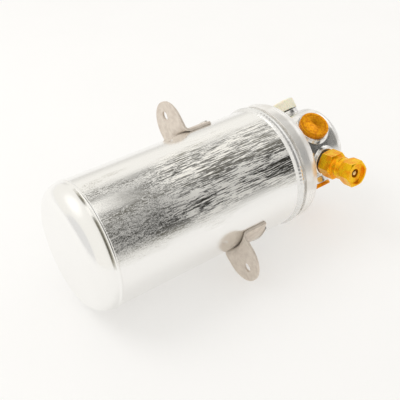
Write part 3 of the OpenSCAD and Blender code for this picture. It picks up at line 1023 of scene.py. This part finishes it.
@dataclass
class PressureCan:
    """The drawn can and the weld round its mouth."""

    wall: float = 1.6
    corner: float = 11.5
    ring_rise: float = 0.6
    ring_section: float = 1.5
    rim_round: float = 0.25
    ripple_pitch: float = 2.3
    ripple_depth: float = 0.13
    swell_depth: float = 0.06
    weld_rise: float = 1.4
    weld_step: float = 1.0
    collar_drop: float = 0.6

    def __post_init__(self) -> None:
        """Reads the can's own sizes from the frame."""
        self.length = CAN_AXIS.span("can_shell")[1]
        self.radius = CAN_AXIS.radius("can_shell") - self.ring_rise

    def shell_outline(self) -> list[Point]:
        """Outline of the can: round-cornered end, ring, wall and mouth.

        Returns:
            The closed outline's (radius, height) points, in millimetres.
        """
        r, inner, c = self.radius, self.radius - self.wall, self.corner
        ring_h = c + self.ring_section
        dip = self.ring_section - self.ring_rise
        spread = math.degrees(math.acos(dip / self.ring_section))
        outer = [(0.0, 0.0), (r - c, 0.0)]
        outer += arc((r - c, c), c, -90 + 3, 0, 20)
        outer += arc((r - dip, ring_h), self.ring_section, -spread, spread, 10)
        outer += [(r, ring_h + 3), (r, self.length - self.rim_round)]
        inner_wall = [(inner, self.length), (inner, ring_h), (inner, c)]
        inner_wall += arc((inner - (c - self.wall), c), c - self.wall, -3, -90, 14)
        return outer + [(r - self.rim_round, self.length)] + inner_wall + [(0.0, self.wall)]

    def rippled(self, radius: float, height: float, angle: float) -> float:
        """Frozen ripples of the weld bead, bowed as the pool ran.

        Args:
            radius: a point's radius, in millimetres.
            height: its height along the axis, in millimetres.
            angle: its angle round the axis.

        Returns:
            The radius of the shape there, in millimetres.
        """
        bow = ((height - self.weld_middle) / self.weld_half) ** 2
        count = round(TURN * self.radius / self.ripple_pitch)
        drift = 0.9 * math.sin(3 * angle) + 0.7 * math.sin(13 * angle + 1)
        wave = 0.5 - 0.5 * math.cos(angle * count + drift + 1.8 * bow)
        swell = 0.5 + 0.5 * math.sin(5 * angle + 1.3) * math.cos(11 * angle)
        if radius <= self.radius + 0.2:
            return radius
        return radius - (self.ripple_depth * wave * (0.4 + 0.6 * swell) + self.swell_depth * swell)

    def weld_outline(self) -> list[Point]:
        """Outline of the bead: a low arc over the seam, hollow over the collar.

        Returns:
            The closed outline's (radius, height) points, in millimetres.
        """
        low, high = CAN_AXIS.span("girth_weld")
        top = CAN_AXIS.radius("girth_weld")
        self.weld_middle, self.weld_half = (low + high) / 2, (high - low) / 2
        section = (self.weld_half ** 2 + self.weld_rise ** 2) / (2 * self.weld_rise)
        reach = math.degrees(math.asin(min(1.0, self.weld_half / section)))
        curve = arc((top - section, self.weld_middle), section, -reach, reach, 16)
        inner, seat, mouth = CAN_AXIS.bore("girth_weld"), self.radius + 0.02, self.length + 0.05
        collar, step = self.radius - self.collar_drop, self.weld_middle + self.weld_step
        return curve + [(collar, high), (collar, step), (inner, step), (inner, mouth), (seat, mouth)]

    def build(self) -> None:
        """Makes the can and its weld."""
        add_turned("drawn_can", "can_shell", self.shell_outline(), CAN_METAL, CAN_AXIS, 256)
        bead = self.weld_outline()
        add_turned("girth_bead", "girth_weld", bead, WELD_METAL, CAN_AXIS, 1312, self.rippled)


@dataclass
class DomeAndHead:
    """The dome that closes the can, and the ported head welded on it."""

    collar_drop: float = 0.6
    shoulder: float = 8.5
    dome_wall: float = 3.0
    neck_r: float = 17.0
    weld_section: float = 3.0
    voxel: float = 0.36
    easing: int = 4
    ripple_count: int = 96
    ripple_depth: float = 0.12

    def __post_init__(self) -> None:
        """Reads the dome's and head's places from the frame."""
        self.spigot_h, self.top_h = CAN_AXIS.span("dome_head")
        self.band_r = CAN_AXIS.radius("dome_head")
        self.head_r = CAN_AXIS.radius("head_weld") - self.weld_section
        self.collar_h = CAN_AXIS.span("can_shell")[1] + 2
        self.can_r = CAN_AXIS.radius("can_shell") - 0.6

    def dome_outline(self) -> list[Point]:
        """Outline of the dome: spigot, collar, raised band, shoulder and flat top.

        Returns:
            The closed outline's (radius, height) points, in millimetres.
        """
        spigot_r = self.can_r - 1.65
        collar_r = self.can_r - self.collar_drop
        inside = spigot_r - self.dome_wall
        band_h = self.collar_h + 4.2
        shoulder_h = self.top_h - self.shoulder
        outer = rounded([(inside, self.spigot_h, 0.3), (spigot_r, self.spigot_h, 0.6),
                         (spigot_r, self.collar_h, 0.0), (collar_r, self.collar_h, 0.2),
                         (collar_r, band_h, 0.35), (self.band_r, band_h, 0.45)], 4)
        outer += [(self.band_r, shoulder_h)]
        outer += arc((self.band_r - self.shoulder, shoulder_h), self.shoulder, 4, 90, 24)
        hole = self.neck_r + 0.05
        under, deep = self.top_h - self.dome_wall, self.shoulder - self.dome_wall
        outer += rounded([(hole + 2, self.top_h), (hole, self.top_h, 0.4), (hole, under, 0.4),
                          (hole + 2, under)], 3)
        outer += arc((inside - deep, under - deep), deep, 90, 0, 12)
        return outer

    def swollen(self, radius: float, height: float, angle: float) -> float:
        """Ripples of the fillet weld round the head's foot."""
        wave = 0.5 - 0.5 * math.cos(angle * self.ripple_count + height)
        return radius - (self.ripple_depth * wave if radius > self.head_r + 0.3 else 0.0)

    def head_solid(self) -> bpy.types.Mesh:
        """The head with all its bosses and drillings, every edge softly rounded.

        Returns:
            A smooth closed mesh in the frame's own place.
        """
        bm = bmesh.new()
        bm.from_mesh(frame["nodes"]["head_block"].data)
        bmesh.ops.remove_doubles(bm, verts=bm.verts, dist=2e-6)
        block = placed("head_raw", finished_mesh(bm, "head_raw"))
        skin = block.modifiers.new("skin", "REMESH")
        skin.mode, skin.voxel_size, skin.use_smooth_shade = "VOXEL", self.voxel * MM, True
        ease = block.modifiers.new("ease", "SMOOTH")
        ease.factor, ease.iterations = 0.5, self.easing
        shaped = block.evaluated_get(bpy.context.evaluated_depsgraph_get())
        mesh = bpy.data.meshes.new_from_object(shaped)
        bpy.data.objects.remove(block)
        mesh.shade_smooth()
        return mesh

    def build(self) -> None:
        """Makes the dome, the head and the weld between them."""
        add_turned("dome_casting", "dome_head", self.dome_outline(), DOME_METAL, CAN_AXIS, 256)
        head = self.head_solid()
        head.transform(CAN_AXIS.matrix().inverted())
        add_piece("ported_head", head, "can", [HEAD_METAL], CAN_AXIS, ["head_block"])
        low = CAN_AXIS.span("head_weld")[0]
        size = self.weld_section
        foot = self.head_r + 0.05
        fillet = [(foot, low), (foot + size - 0.1, low)]
        fillet += arc((foot + size, low + size), size - 0.05, 262, 188, 12)
        fillet += [(foot, low + size - 0.1)]
        add_turned("head_bead", "head_weld", fillet, WELD_METAL, CAN_AXIS, 768, self.swollen)


@dataclass
class PortPlug:
    """A gold plug that is pushed into one of the head's ports."""

    name: str
    axis: Axis
    edge: float = 0.5
    head_h: float = 2.4
    dish: float = 0.12
    pip_dish: float = 0.28
    rim_w: float = 1.9
    cap_h: float = 3.4
    shank_wall: float = 3.5
    groove: float = 2.1
    knurl_count: int = 60
    knurl_depth: float = 0.22

    def __post_init__(self) -> None:
        """Reads the plug's sizes from the frame."""
        self.low, self.top = self.axis.span(f"{self.name}_plug")
        self.radius = self.axis.radius(f"{self.name}_plug")
        self.seal_low, self.seal_high = self.axis.span(f"{self.name}_oring")
        self.seal_r = self.axis.radius(f"{self.name}_oring")

    def knurled(self, radius: float, height: float, angle: float) -> float:
        """Straight knurling on the rim of the plug's head.

        Args:
            radius: a point's radius, in millimetres.
            height: its height along the axis, in millimetres.
            angle: its angle round the axis.

        Returns:
            The radius of the shape there, in millimetres.
        """
        rim = radius > self.radius - 0.02 and self.top - 2.0 < height < self.top - 0.45
        wave = abs(math.sin(angle * self.knurl_count / 2))
        return radius - (self.knurl_depth * (1 - wave) if rim else 0.0)

    def outline(self) -> list[Point]:
        """Outline of the plug: dished head with a rim, shank with a seal groove, hollow end.

        Returns:
            The closed outline's (radius, height) points, in millimetres.
        """
        r, top = self.radius, self.top
        under, inside, dish, pip = top - self.head_h, top - self.cap_h, top - self.dish, top - self.pip_dish
        shank = self.seal_r - 0.03
        bore = shank - self.shank_wall
        floor = shank - self.groove
        low, high = self.seal_low - 0.1, self.seal_high + 0.1
        face = [(0.0, pip), (0.9, pip), (1.2, dish), (r - self.rim_w - 0.4, dish, 0.3),
                (r - self.rim_w, top, 0.2), (r, top, self.edge)]
        rim = [(r, top - 1.0), (r, top - 1.4), (r, under, 0.3), (shank, under, 0.2)]
        groove = [(shank, high, 0.1), (floor, high, 0.2), (floor, low, 0.2), (shank, low, 0.1)]
        end = [(shank, self.low, 0.5), (bore, self.low, 0.3), (bore, inside, 0.6), (0.0, inside)]
        return rounded(face + rim + groove + end, 4)

    def build(self) -> None:
        """Makes the plug and dresses its seal."""
        node = f"{self.name}_plug"
        add_turned(f"{self.name}_push_plug", node, self.outline(), PLUG_METAL, self.axis, 480,
                   self.knurled, node)
        dress_node(f"{self.name}_oring", RUBBER)


@dataclass
class ServicePort:
    """The golden charging port, its valve core, pin and spring."""

    flats: float = 15.6
    hex_len: float = 9.0
    chamfer: float = 0.6
    waist_r: float = 6.7
    waist_len: float = 6.5
    flare_len: float = 2.6
    rim_flats: float = 15.0
    recess_depth: float = 1.8
    recess_r: float = 6.4
    bore_r: float = 2.7
    collar_rise: float = 0.35
    shank_r: float = 4.95
    neck_r: float = 4.6
    throat_r: float = 1.6
    gallery_r: float = 4.0
    stem_r: float = 0.75
    poppet_r: float = 1.9
    stem_head_r: float = 1.4
    spring_r: float = 1.2
    spring_wire: float = 0.15
    core_edge: float = 0.08
    spare: float = 0.05
    thread_pitch: float = 1.25
    thread_depth: float = 0.45

    def __post_init__(self) -> None:
        """Reads the port's places from the frame."""
        self.shank_h, self.face_h = SERVICE_AXIS.span("service_port")
        self.hex_low = SERVICE_AXIS.span("port_gasket")[1]
        self.hex_high = self.hex_low + self.hex_len
        self.rim_start = self.hex_high + self.waist_len + 0.05
        self.core_top = SERVICE_AXIS.span("valve_core")[1]
        self.pin_low, self.pin_top = SERVICE_AXIS.span("valve_pin")

    def shaped(self, radius: float, height: float, angle: float) -> float:
        """Six flats on both hexagons and a thread on the shank.

        Args:
            radius: a point's radius, in millimetres.
            height: its height along the axis, in millimetres.
            angle: its angle round the axis.

        Returns:
            The radius of the shape there, in millimetres.
        """
        flat = 0.0
        if self.hex_low - 0.01 <= height <= self.hex_high + 0.01:
            flat = self.flats
        elif height > self.rim_start and radius > self.recess_r + 0.5:
            flat = self.rim_flats
        if flat and radius > flat / 2 - 0.3:
            return min(radius, flat / 2 / math.cos(angle % (TURN / 6) - TURN / 12))
        if height < self.hex_low - 1.5 and radius > 4.0:
            return radius - thread_cut(height, angle, self.thread_pitch, self.thread_depth)
        return radius

    def taper(self, start: Point, stop: Point) -> list[Point]:
        """Nine points of a cone, close enough together for flats to cut it cleanly."""
        return [(start[0] + (stop[0] - start[0]) * k / 8, start[1] + (stop[1] - start[1]) * k / 8)
                for k in range(9)]

    def outline(self) -> list[Point]:
        """Outline of the port, from its threaded shank out to its recessed face.

        Returns:
            The closed outline's (radius, height) points, in millimetres.
        """
        corner = self.flats / math.sqrt(3) + self.spare
        rim = self.rim_flats / math.sqrt(3) + self.spare
        low, high, top = self.hex_low, self.hex_high, self.face_h
        flare, neck, edge = high + self.waist_len, low - 1.0, self.chamfer
        full, seat = flare + self.flare_len, top - self.recess_depth
        shank = stepped(self.shank_r, self.shank_h, neck, 0.2)
        shank += [(self.shank_r, neck), (self.neck_r, neck + 0.2), (self.neck_r, low)]
        nut = self.taper((self.flats / 2, low), (corner, low + edge))
        nut += [(corner, low + self.hex_len * k / 4) for k in (1, 2, 3)]
        nut += self.taper((corner, high - edge), (self.flats / 2, high))
        ring, waist_r = high + self.waist_len * 0.42, self.waist_r
        ring_r = waist_r + self.collar_rise
        waist = rounded([(waist_r + 0.3, high), (waist_r, high + 0.5, 0.3), (waist_r, ring, 0.2),
                         (ring_r, ring + 0.3, 0.2), (ring_r, ring + 1.1, 0.2), (waist_r, ring + 1.4, 0.2),
                         (waist_r, flare)], 4)
        nozzle = self.taper((waist_r, flare), (rim, full))[1:]
        nozzle += [(rim, full + (top - edge - full) * k / 4) for k in (1, 2, 3)]
        nozzle += self.taper((rim, top - edge), (self.rim_flats / 2, top))
        gallery = self.pin_low - 2.5
        inside = rounded([(self.rim_flats / 2 - 0.25, top), (self.recess_r, top, 0.3),
                          (self.recess_r, seat, 0.25), (self.bore_r, seat, 0.3), (self.bore_r, gallery),
                          (self.throat_r, gallery - 0.7), (self.throat_r, self.shank_h),
                          (self.gallery_r, self.shank_h)], 4)
        return shank + nut + waist + nozzle + inside

    def pin_outline(self) -> list[Point]:
        """Outline of the valve pin: domed head, stem and poppet.

        Returns:
            The closed outline's (radius, height) points, in millimetres.
        """
        top, low, poppet = self.pin_top, self.pin_low, self.pin_low + 2.0
        return rounded([(0.0, top), (0.5, top), (self.stem_head_r, top - 0.25, 0.2),
                        (self.stem_head_r, top - 1.0, 0.1), (self.stem_r, top - 1.0),
                        (self.stem_r, poppet, 0.05), (self.poppet_r, poppet, 0.15),
                        (self.poppet_r, low, 0.3), (0.0, low)], 4)

    def build(self) -> None:
        """Makes the port, its pin and spring, and dresses the core and the seals."""
        add_turned("charging_port", "service_port", self.outline(), FITTING_METAL, SERVICE_AXIS, 192,
                   self.shaped, sharp=30.0)
        add_turned("valve_stem", "valve_pin", self.pin_outline(), PIN_METAL, SERVICE_AXIS, 64,
                   body="valve_pin")
        coiled = (self.core_top, self.pin_top - 1.0)
        spring = coil_mesh("fine_pin_spring", self.spring_r, self.spring_wire, coiled, 3.0, 12, 40)
        coil = add_piece("stem_spring", spring, "can", [SPRING_METAL], SERVICE_AXIS, ["pin_spring"])
        foot = SERVICE_AXIS.matrix() @ Vector((0, 0, self.core_top * MM))
        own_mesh(coil)
        core = refined("valve_core", self.core_edge, 2)
        add_piece("core_barrel", core, "can", [CORE_METAL], replaces=["valve_core"])
        dress_node("core_seal", CORE_PLASTIC)
        dress_node("poppet_seal", RUBBER)
        dress_node("port_gasket", RUBBER)


@dataclass
class RearPort:
    """The small rear port: a threaded stub, its gasket and a plastic cap."""

    rib_count: int = 28
    rib_depth: float = 0.28
    thread_pitch: float = 0.9
    thread_depth: float = 0.35
    bore_r: float = 2.2
    stub_r: float = 5.2
    nozzle_r: float = 5.62
    flange_r: float = 6.8
    flange: float = 1.2
    cap_bore: float = 5.7
    skirt_bore: float = 6.9
    cap_room: float = 0.8

    def __post_init__(self) -> None:
        """Reads the stub's and the cap's places from the frame."""
        self.low, self.top = REAR_AXIS.span("rear_stub")
        self.cap_low, self.cap_top = REAR_AXIS.span("rear_cap")
        self.cap_r = REAR_AXIS.radius("rear_cap")
        self.seat = REAR_AXIS.span("stub_gasket")[1]

    def threaded(self, radius: float, height: float, angle: float) -> float:
        """A thread on the nozzle.

        Args:
            radius: a point's radius, in millimetres.
            height: its height along the axis, in millimetres.
            angle: its angle round the axis.

        Returns:
            The radius of the shape there, in millimetres.
        """
        if height > self.seat + self.flange + 0.3 and radius > 4.5:
            return radius - thread_cut(height, angle, self.thread_pitch, self.thread_depth)
        return radius

    def ribbed(self, radius: float, height: float, angle: float) -> float:
        """Grip ribs on the cap's skirt.

        Args:
            radius: a point's radius, in millimetres.
            height: its height along the axis, in millimetres.
            angle: its angle round the axis.

        Returns:
            The radius of the shape there, in millimetres.
        """
        skirt = radius > self.cap_r - 0.05 and height < self.cap_top - 2.2
        wave = 0.5 - 0.5 * math.cos(angle * self.rib_count)
        return radius - (self.rib_depth * wave if skirt else 0.0)

    def build(self) -> None:
        """Makes the stub and the cap."""
        low, seat, top = self.low, self.seat, self.top
        flange, lip = seat + self.flange, self.flange_r - 0.2
        outline = [(self.bore_r, low), (self.stub_r, low), (self.stub_r, seat), (lip, seat),
                   (self.flange_r, seat + 0.2), (self.flange_r, flange - 0.2), (lip, flange), (5.3, flange)]
        outline += stepped(self.nozzle_r, flange + 0.25, top - 0.25, 0.15)
        outline += [(self.stub_r, top), (self.bore_r, top)]
        add_turned("threaded_stub", "rear_stub", outline, HEAD_METAL, REAR_AXIS, 144, self.threaded)
        cavity, step, dimple = top + self.cap_room, flange + 0.2, self.cap_top - 0.35
        cap = rounded([(0.0, cavity), (self.cap_bore, cavity, 0.5), (self.cap_bore, step, 0.2),
                       (self.skirt_bore, step, 0.2), (self.skirt_bore, self.cap_low, 0.2),
                       (self.cap_r, self.cap_low, 0.3), (self.cap_r, self.cap_low + 2),
                       (self.cap_r, self.cap_top - 2.4), (self.cap_r, self.cap_top, 2.0),
                       (3.2, self.cap_top, 0.3), (2.8, dimple, 0.3), (0.0, dimple)], 6)
        add_turned("ribbed_cap", "rear_cap", cap, CAP_PLASTIC, REAR_AXIS, 336, self.ribbed, "rear_cap")
        dress_node("stub_gasket", RUBBER)


@dataclass
class MountingTabs:
    """The two bent sheet tabs and the weld beads that hold them."""

    edge_round: float = 0.35
    half_width: float = 15.5
    tip_from: float = 58.0

    def cut_faces(self, mesh: bpy.types.Mesh, hole: Vector) -> None:
        """Gives the sheet's cut edges their own finish.

        Args:
            mesh: the tab, in the frame's place.
            hole: the place of the bolt hole in its ear.
        """
        out = Vector((0, hole.y, hole.z)).normalized()
        side = Vector((1, 0, 0)).cross(out)
        for face in mesh.polygons:
            centre, normal = face.center / MM, face.normal
            across = abs(centre.dot(side))
            upright = abs(normal.x) < 0.35
            tip = centre.dot(out) > self.tip_from
            on_rim = across > self.half_width - 0.45 or tip
            face.material_index = int(upright and on_rim)

    def build(self) -> None:
        """Makes both tabs and dresses their welds."""
        for side in ("upper", "lower"):
            mesh = refined(f"{side}_tab", self.edge_round)
            self.cut_faces(mesh, mount_place(f"tab_hole_{side}"))
            add_piece(f"{side}_ear", mesh, "can", [TAB_METAL, EDGE_METAL], replaces=[f"{side}_tab"])
        dress_node("tab_welds", WELD_METAL)


@dataclass
class Filling:
    """What the can holds: pick-up tube, strainer, retainers, pads, desiccant and spring."""

    groove: float = 0.5
    groove_room: float = 0.1
    clip_round: float = 0.3
    screen_edge: float = 0.15
    plate_edge: float = 0.25
    bead: float = 2.6
    bead_samples: int = 5
    fuzz: float = 0.22

    def beaded(self, radius: float, height: float, angle: float) -> float:
        """Rows of small round beads, each row set half a bead on from the last.

        Args:
            radius: a point's radius, in millimetres.
            height: its height along the axis, in millimetres.
            angle: its angle round the axis.

        Returns:
            The radius of the shape there, in millimetres.
        """
        outside = radius > self.bed_r - 0.5
        count = round(TURN * self.bed_r / self.bead)
        row = math.floor(height / self.bead)
        across = (angle / TURN * count + 0.5 * (row % 2)) % 1.0 - 0.5
        up = height / self.bead - row - 0.5
        reach = max(0.0, 0.25 - across * across - up * up)
        dip = self.bead * (0.5 - math.sqrt(reach))
        return radius - (0.8 * dip if outside else 0.0)

    def fuzzy(self, radius: float, height: float, angle: float) -> float:
        """A felted rim that is never quite round."""
        wobble = math.sin(angle * 37 + height * 5) * math.sin(angle * 61 - height * 3)
        return radius - self.fuzz * (0.5 + 0.5 * wobble)

    def build_tube(self) -> None:
        """Makes the pick-up tube, its clip and its strainer."""
        low, high = CAN_AXIS.span("pickup_tube")
        radius, bore = CAN_AXIS.radius("pickup_tube"), CAN_AXIS.bore("pickup_tube")
        clip_low, clip_high = CAN_AXIS.span("tube_clip")
        under, over = clip_low - self.groove_room, clip_high + self.groove_room
        floor = radius - self.groove
        outline = rounded([(bore, low, 0.3), (radius, low, 0.5), (radius, under), (floor, under),
                           (floor, over), (radius, over), (radius, high, 0.5), (bore, high, 0.3)], 4)
        add_turned("drawn_tube", "pickup_tube", outline, TUBE_METAL, CAN_AXIS)
        inner, outer = CAN_AXIS.bore("tube_clip"), CAN_AXIS.radius("tube_clip")
        clip = rounded([(r, h, self.clip_round) for r, h in (
            (inner, clip_low), (outer, clip_low), (outer, clip_high), (inner, clip_high))])
        add_turned("snap_clip", "tube_clip", clip, SPRING_METAL, CAN_AXIS)
        screen = refined("pickup_screen", self.screen_edge, 2, CAN_AXIS)
        add_piece("strainer_cup", screen, "can", [SCREEN_CLOTH], CAN_AXIS, ["pickup_screen"])
        dress_node("tube_oring", RUBBER)

    def build_bed(self) -> None:
        """Makes the desiccant, its pads, plates and spring."""
        for side in ("lower", "upper"):
            low, high = CAN_AXIS.span(f"{side}_pad")
            inner, outer = CAN_AXIS.bore(f"{side}_pad"), CAN_AXIS.radius(f"{side}_pad")
            outline = rounded([(inner, low, 0.8), (outer, low, 1.2), (outer, (low + high) / 2),
                               (outer, high, 1.2), (inner, high, 0.8)], 5)
            felt = add_turned(f"{side}_felt", f"{side}_pad", outline, FELT, CAN_AXIS, 288, self.fuzzy)
            plate = refined(f"{side}_plate", self.plate_edge, 2, CAN_AXIS)
            add_piece(f"{side}_retainer", plate, "can", [PLATE_METAL], CAN_AXIS, [f"{side}_plate"])
        low, high = CAN_AXIS.span("desiccant_bed")
        self.bed_r = CAN_AXIS.radius("desiccant_bed")
        inner = CAN_AXIS.bore("desiccant_bed")
        rows = int((high - low) / self.bead * self.bead_samples)
        wall = [(self.bed_r, low + (high - low) * k / rows) for k in range(rows + 1)]
        segments = round(TURN * self.bed_r / self.bead) * self.bead_samples
        add_turned("desiccant_beads", "desiccant_bed", wall + [(inner, high), (inner, low)], BEAD_STONE,
                   CAN_AXIS, segments, self.beaded, sharp=80.0)
        low, high = CAN_AXIS.span("bed_spring")
        outer, inner = CAN_AXIS.radius("bed_spring"), CAN_AXIS.bore("bed_spring")
        mean, wire = (outer + inner) / 2, (outer - inner) / 2
        coil = coil_mesh("fine_bed_spring", mean, wire, (low, high), 3.0, 16, 96)
        add_piece("retainer_spring", coil, "can", [SPRING_METAL], CAN_AXIS, ["bed_spring"])

    def build(self) -> None:
        """Makes everything inside the can."""
        self.build_tube()
        self.build_bed()


# ---------------------------------------------------------------- the studio


class Light(Enum):
    """The studio's lamps: (place, size, power)."""

    KEY = ((-0.28, 0.34, 0.62), 0.45, 1.5)
    FILL = ((0.6, 0.1, 0.5), 0.6, 0.3)


@dataclass
class Studio:
    """A pale floor, soft light, a banded card for the metal to reflect, and the camera.

    The card is bent round the X axis; its bands are given by their angles in degrees, from
    the level behind the object over the top to its front, and its ends by their X in metres.
    """

    azimuth: float = 324.34
    elevation: float = 39.18
    distance: float = 0.380
    lens: float = 57.2
    aim_offset: Sequence[float] = (0.0184, -0.0049, 0.0002)
    sky_glow: float = 0.8
    floor_half: float = 3.0
    floor_tints: Sequence[Sequence[float]] = ((0.5, 0.497, 0.49), (0.52, 0.517, 0.51))
    table_glow: float = 0.46
    card_radius: float = 0.6
    card_span: Sequence[float] = (2.0, 188.0)
    card_reach: Sequence[float] = (-0.9, 1.0)
    card_steps: int = 72
    back_fade: Sequence[float] = (2.0, 24.0)
    strip_from: Sequence[float] = (50.0, 58.0)
    lamp_from: Sequence[float] = (74.0, 80.0)
    lamp_to: Sequence[float] = (97.0, 102.0)
    right_from: Sequence[float] = (0.25, 0.37)
    left_end: Sequence[float] = (0.09, 0.16)
    right_end: Sequence[float] = (0.66, 0.78)
    smudge_at: Sequence[float] = (0.30, 88.0)
    smudge_reach: Sequence[float] = (0.03, 0.12)
    smudge_squeeze: float = 0.006

    def floor_shader(self, graph: Graph) -> Wire:
        """A pale, faintly clouded table that glows a little.

        Args:
            graph: the material's nodes.

        Returns:
            The shader.
        """
        colour = graph.mix(graph.noise(60.0, 2.0), *self.floor_tints)
        return graph.node("ShaderNodeBsdfPrincipled", {}, {
            "Base Color": colour, "Roughness": 0.55, "Specular IOR Level": 0.2,
            "Emission Color": (1.0, 0.985, 0.955, 1.0), "Emission Strength": self.table_glow})

    def build_floor(self) -> None:
        """Lays the floor at the lowest point of the object."""
        bm = bmesh.new()
        bmesh.ops.create_grid(bm, x_segments=8, y_segments=8, size=self.floor_half)
        mesh = finished_mesh(bm, "floor")
        mesh.materials.append(material_of("pale_table", self.floor_shader))
        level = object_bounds()[0].z
        floor = placed("floor", mesh)
        floor.location.z = level
        floor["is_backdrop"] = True

    def card_glow(self, graph: Graph) -> Wire:
        """Brightness of the card over its height and length.

        Args:
            graph: the card material's nodes.

        Returns:
            The brightness, from 0 for black.
        """
        along, y, z = graph.split(graph.node("ShaderNodeTexCoord").out("Object"))
        height = graph.angle(z, y) * (360 / TURN)
        right = graph.ramp(along, *self.right_from)
        strip_on, lamp_on, below = (graph.ramp(height, *band)
                                    for band in (self.strip_from, self.lamp_from, self.lamp_to))
        back = graph.ramp(height, *self.back_fade, 0.72, 0.97) * (1 - strip_on)
        strip = strip_on * (1 - lamp_on)
        lamp = lamp_on * (1 - below)
        deep = graph.ramp(height, 104.0, 160.0, 0.34, 0.07)
        deeper = graph.ramp(height, 104.0, 135.0, 0.30, 0.05)
        tail = graph.ramp(height, 160.0, self.card_span[1], 0.0, 0.75)
        under = deep * (1 - right) + deeper * right + tail
        bands = back + 0.36 * strip + lamp * (1.3 - 0.92 * right) + under * below
        ends = graph.ramp(along, *self.left_end) * (1 - graph.ramp(along, *self.right_end))
        across = (along - self.smudge_at[0]) ** 2
        up = ((height - self.smudge_at[1]) * self.smudge_squeeze) ** 2
        smudge = graph.ramp((across + up) ** 0.5, *self.smudge_reach, 0.9, 0.0)
        return (bands * ends + 0.95 * (1 - ends)) * (1 - smudge)

    def card_shader(self, graph: Graph) -> Wire:
        """The card's own light."""
        colour = graph.scaled((1.0, 0.98, 0.93), self.card_glow(graph))
        return graph.node("ShaderNodeEmission", {}, {"Color": colour, "Strength": 1.0})

    def build_card(self) -> None:
        """Hangs a curved card over the object; only gloss sees it."""
        bm = bmesh.new()
        rows = []
        start, stop = self.card_span
        for y, z in arc((0.0, 0.0), self.card_radius, start, stop, self.card_steps):
            rows.append([bm.verts.new((x, y, z)) for x in self.card_reach])
        for first, second in zip(rows, rows[1:]):
            bm.faces.new((first[0], first[1], second[1], second[0]))
        mesh = finished_mesh(bm, "card")
        mesh.materials.append(material_of("studio_card", self.card_shader))
        card = placed("card", mesh)
        for ray in ("camera", "diffuse", "shadow", "transmission"):
            setattr(card, f"visible_{ray}", False)
        card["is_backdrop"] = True

    def build_lights(self) -> None:
        """Sets a pale sky and the lamps."""
        world = bpy.data.worlds.new("studio")
        bpy.context.scene.world = world
        world.use_nodes = True
        graph = Graph(world.node_tree)
        sky = graph.node("ShaderNodeBackground", {}, {
            "Color": (1.0, 0.99, 0.975, 1.0), "Strength": self.sky_glow})
        graph.node("ShaderNodeOutputWorld", {}, {"Surface": sky})
        middle = Vector((0.08, 0.0, 0.0))
        for lamp in Light:
            place, size, power = lamp.value
            data = bpy.data.lights.new(lamp.name.lower(), "AREA")
            data.shape, data.size, data.energy = "DISK", size, power
            aimed(placed(lamp.name.lower(), data), Vector(place), middle)

    def build_camera(self) -> None:
        """Places the camera at the object's viewing angle."""
        low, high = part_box("can_shell")
        aim = (low + high) / 2 + Vector(self.aim_offset)
        turn, rise = math.radians(self.azimuth), math.radians(self.elevation)
        back = Vector((math.sin(turn) * math.cos(rise), -math.cos(turn) * math.cos(rise), math.sin(rise)))
        data = bpy.data.cameras.new("camera")
        data.lens, data.sensor_width = self.lens, 36.0
        data.clip_start, data.clip_end = 0.01, 20.0
        camera = placed("camera", data)
        aimed(camera, aim + back * self.distance, aim)
        bpy.context.scene.camera = camera

    def build(self) -> None:
        """Makes the whole studio."""
        self.build_floor()
        self.build_card()
        self.build_lights()
        self.build_camera()
        bpy.context.scene.view_settings.view_transform = "Standard"


def main() -> None:
    """Builds the receiver-drier's looks, assembly by assembly, and the studio round it."""
    logging.basicConfig(level=logging.INFO, format="%(name)s: %(message)s")
    PressureCan().build()
    DomeAndHead().build()
    PortPlug("inlet", INLET_AXIS).build()
    PortPlug("outlet", OUTLET_AXIS).build()
    ServicePort().build()
    RearPort().build()
    MountingTabs().build()
    Filling().build()
    Studio().build()


if __name__ == "__main__":
    main()
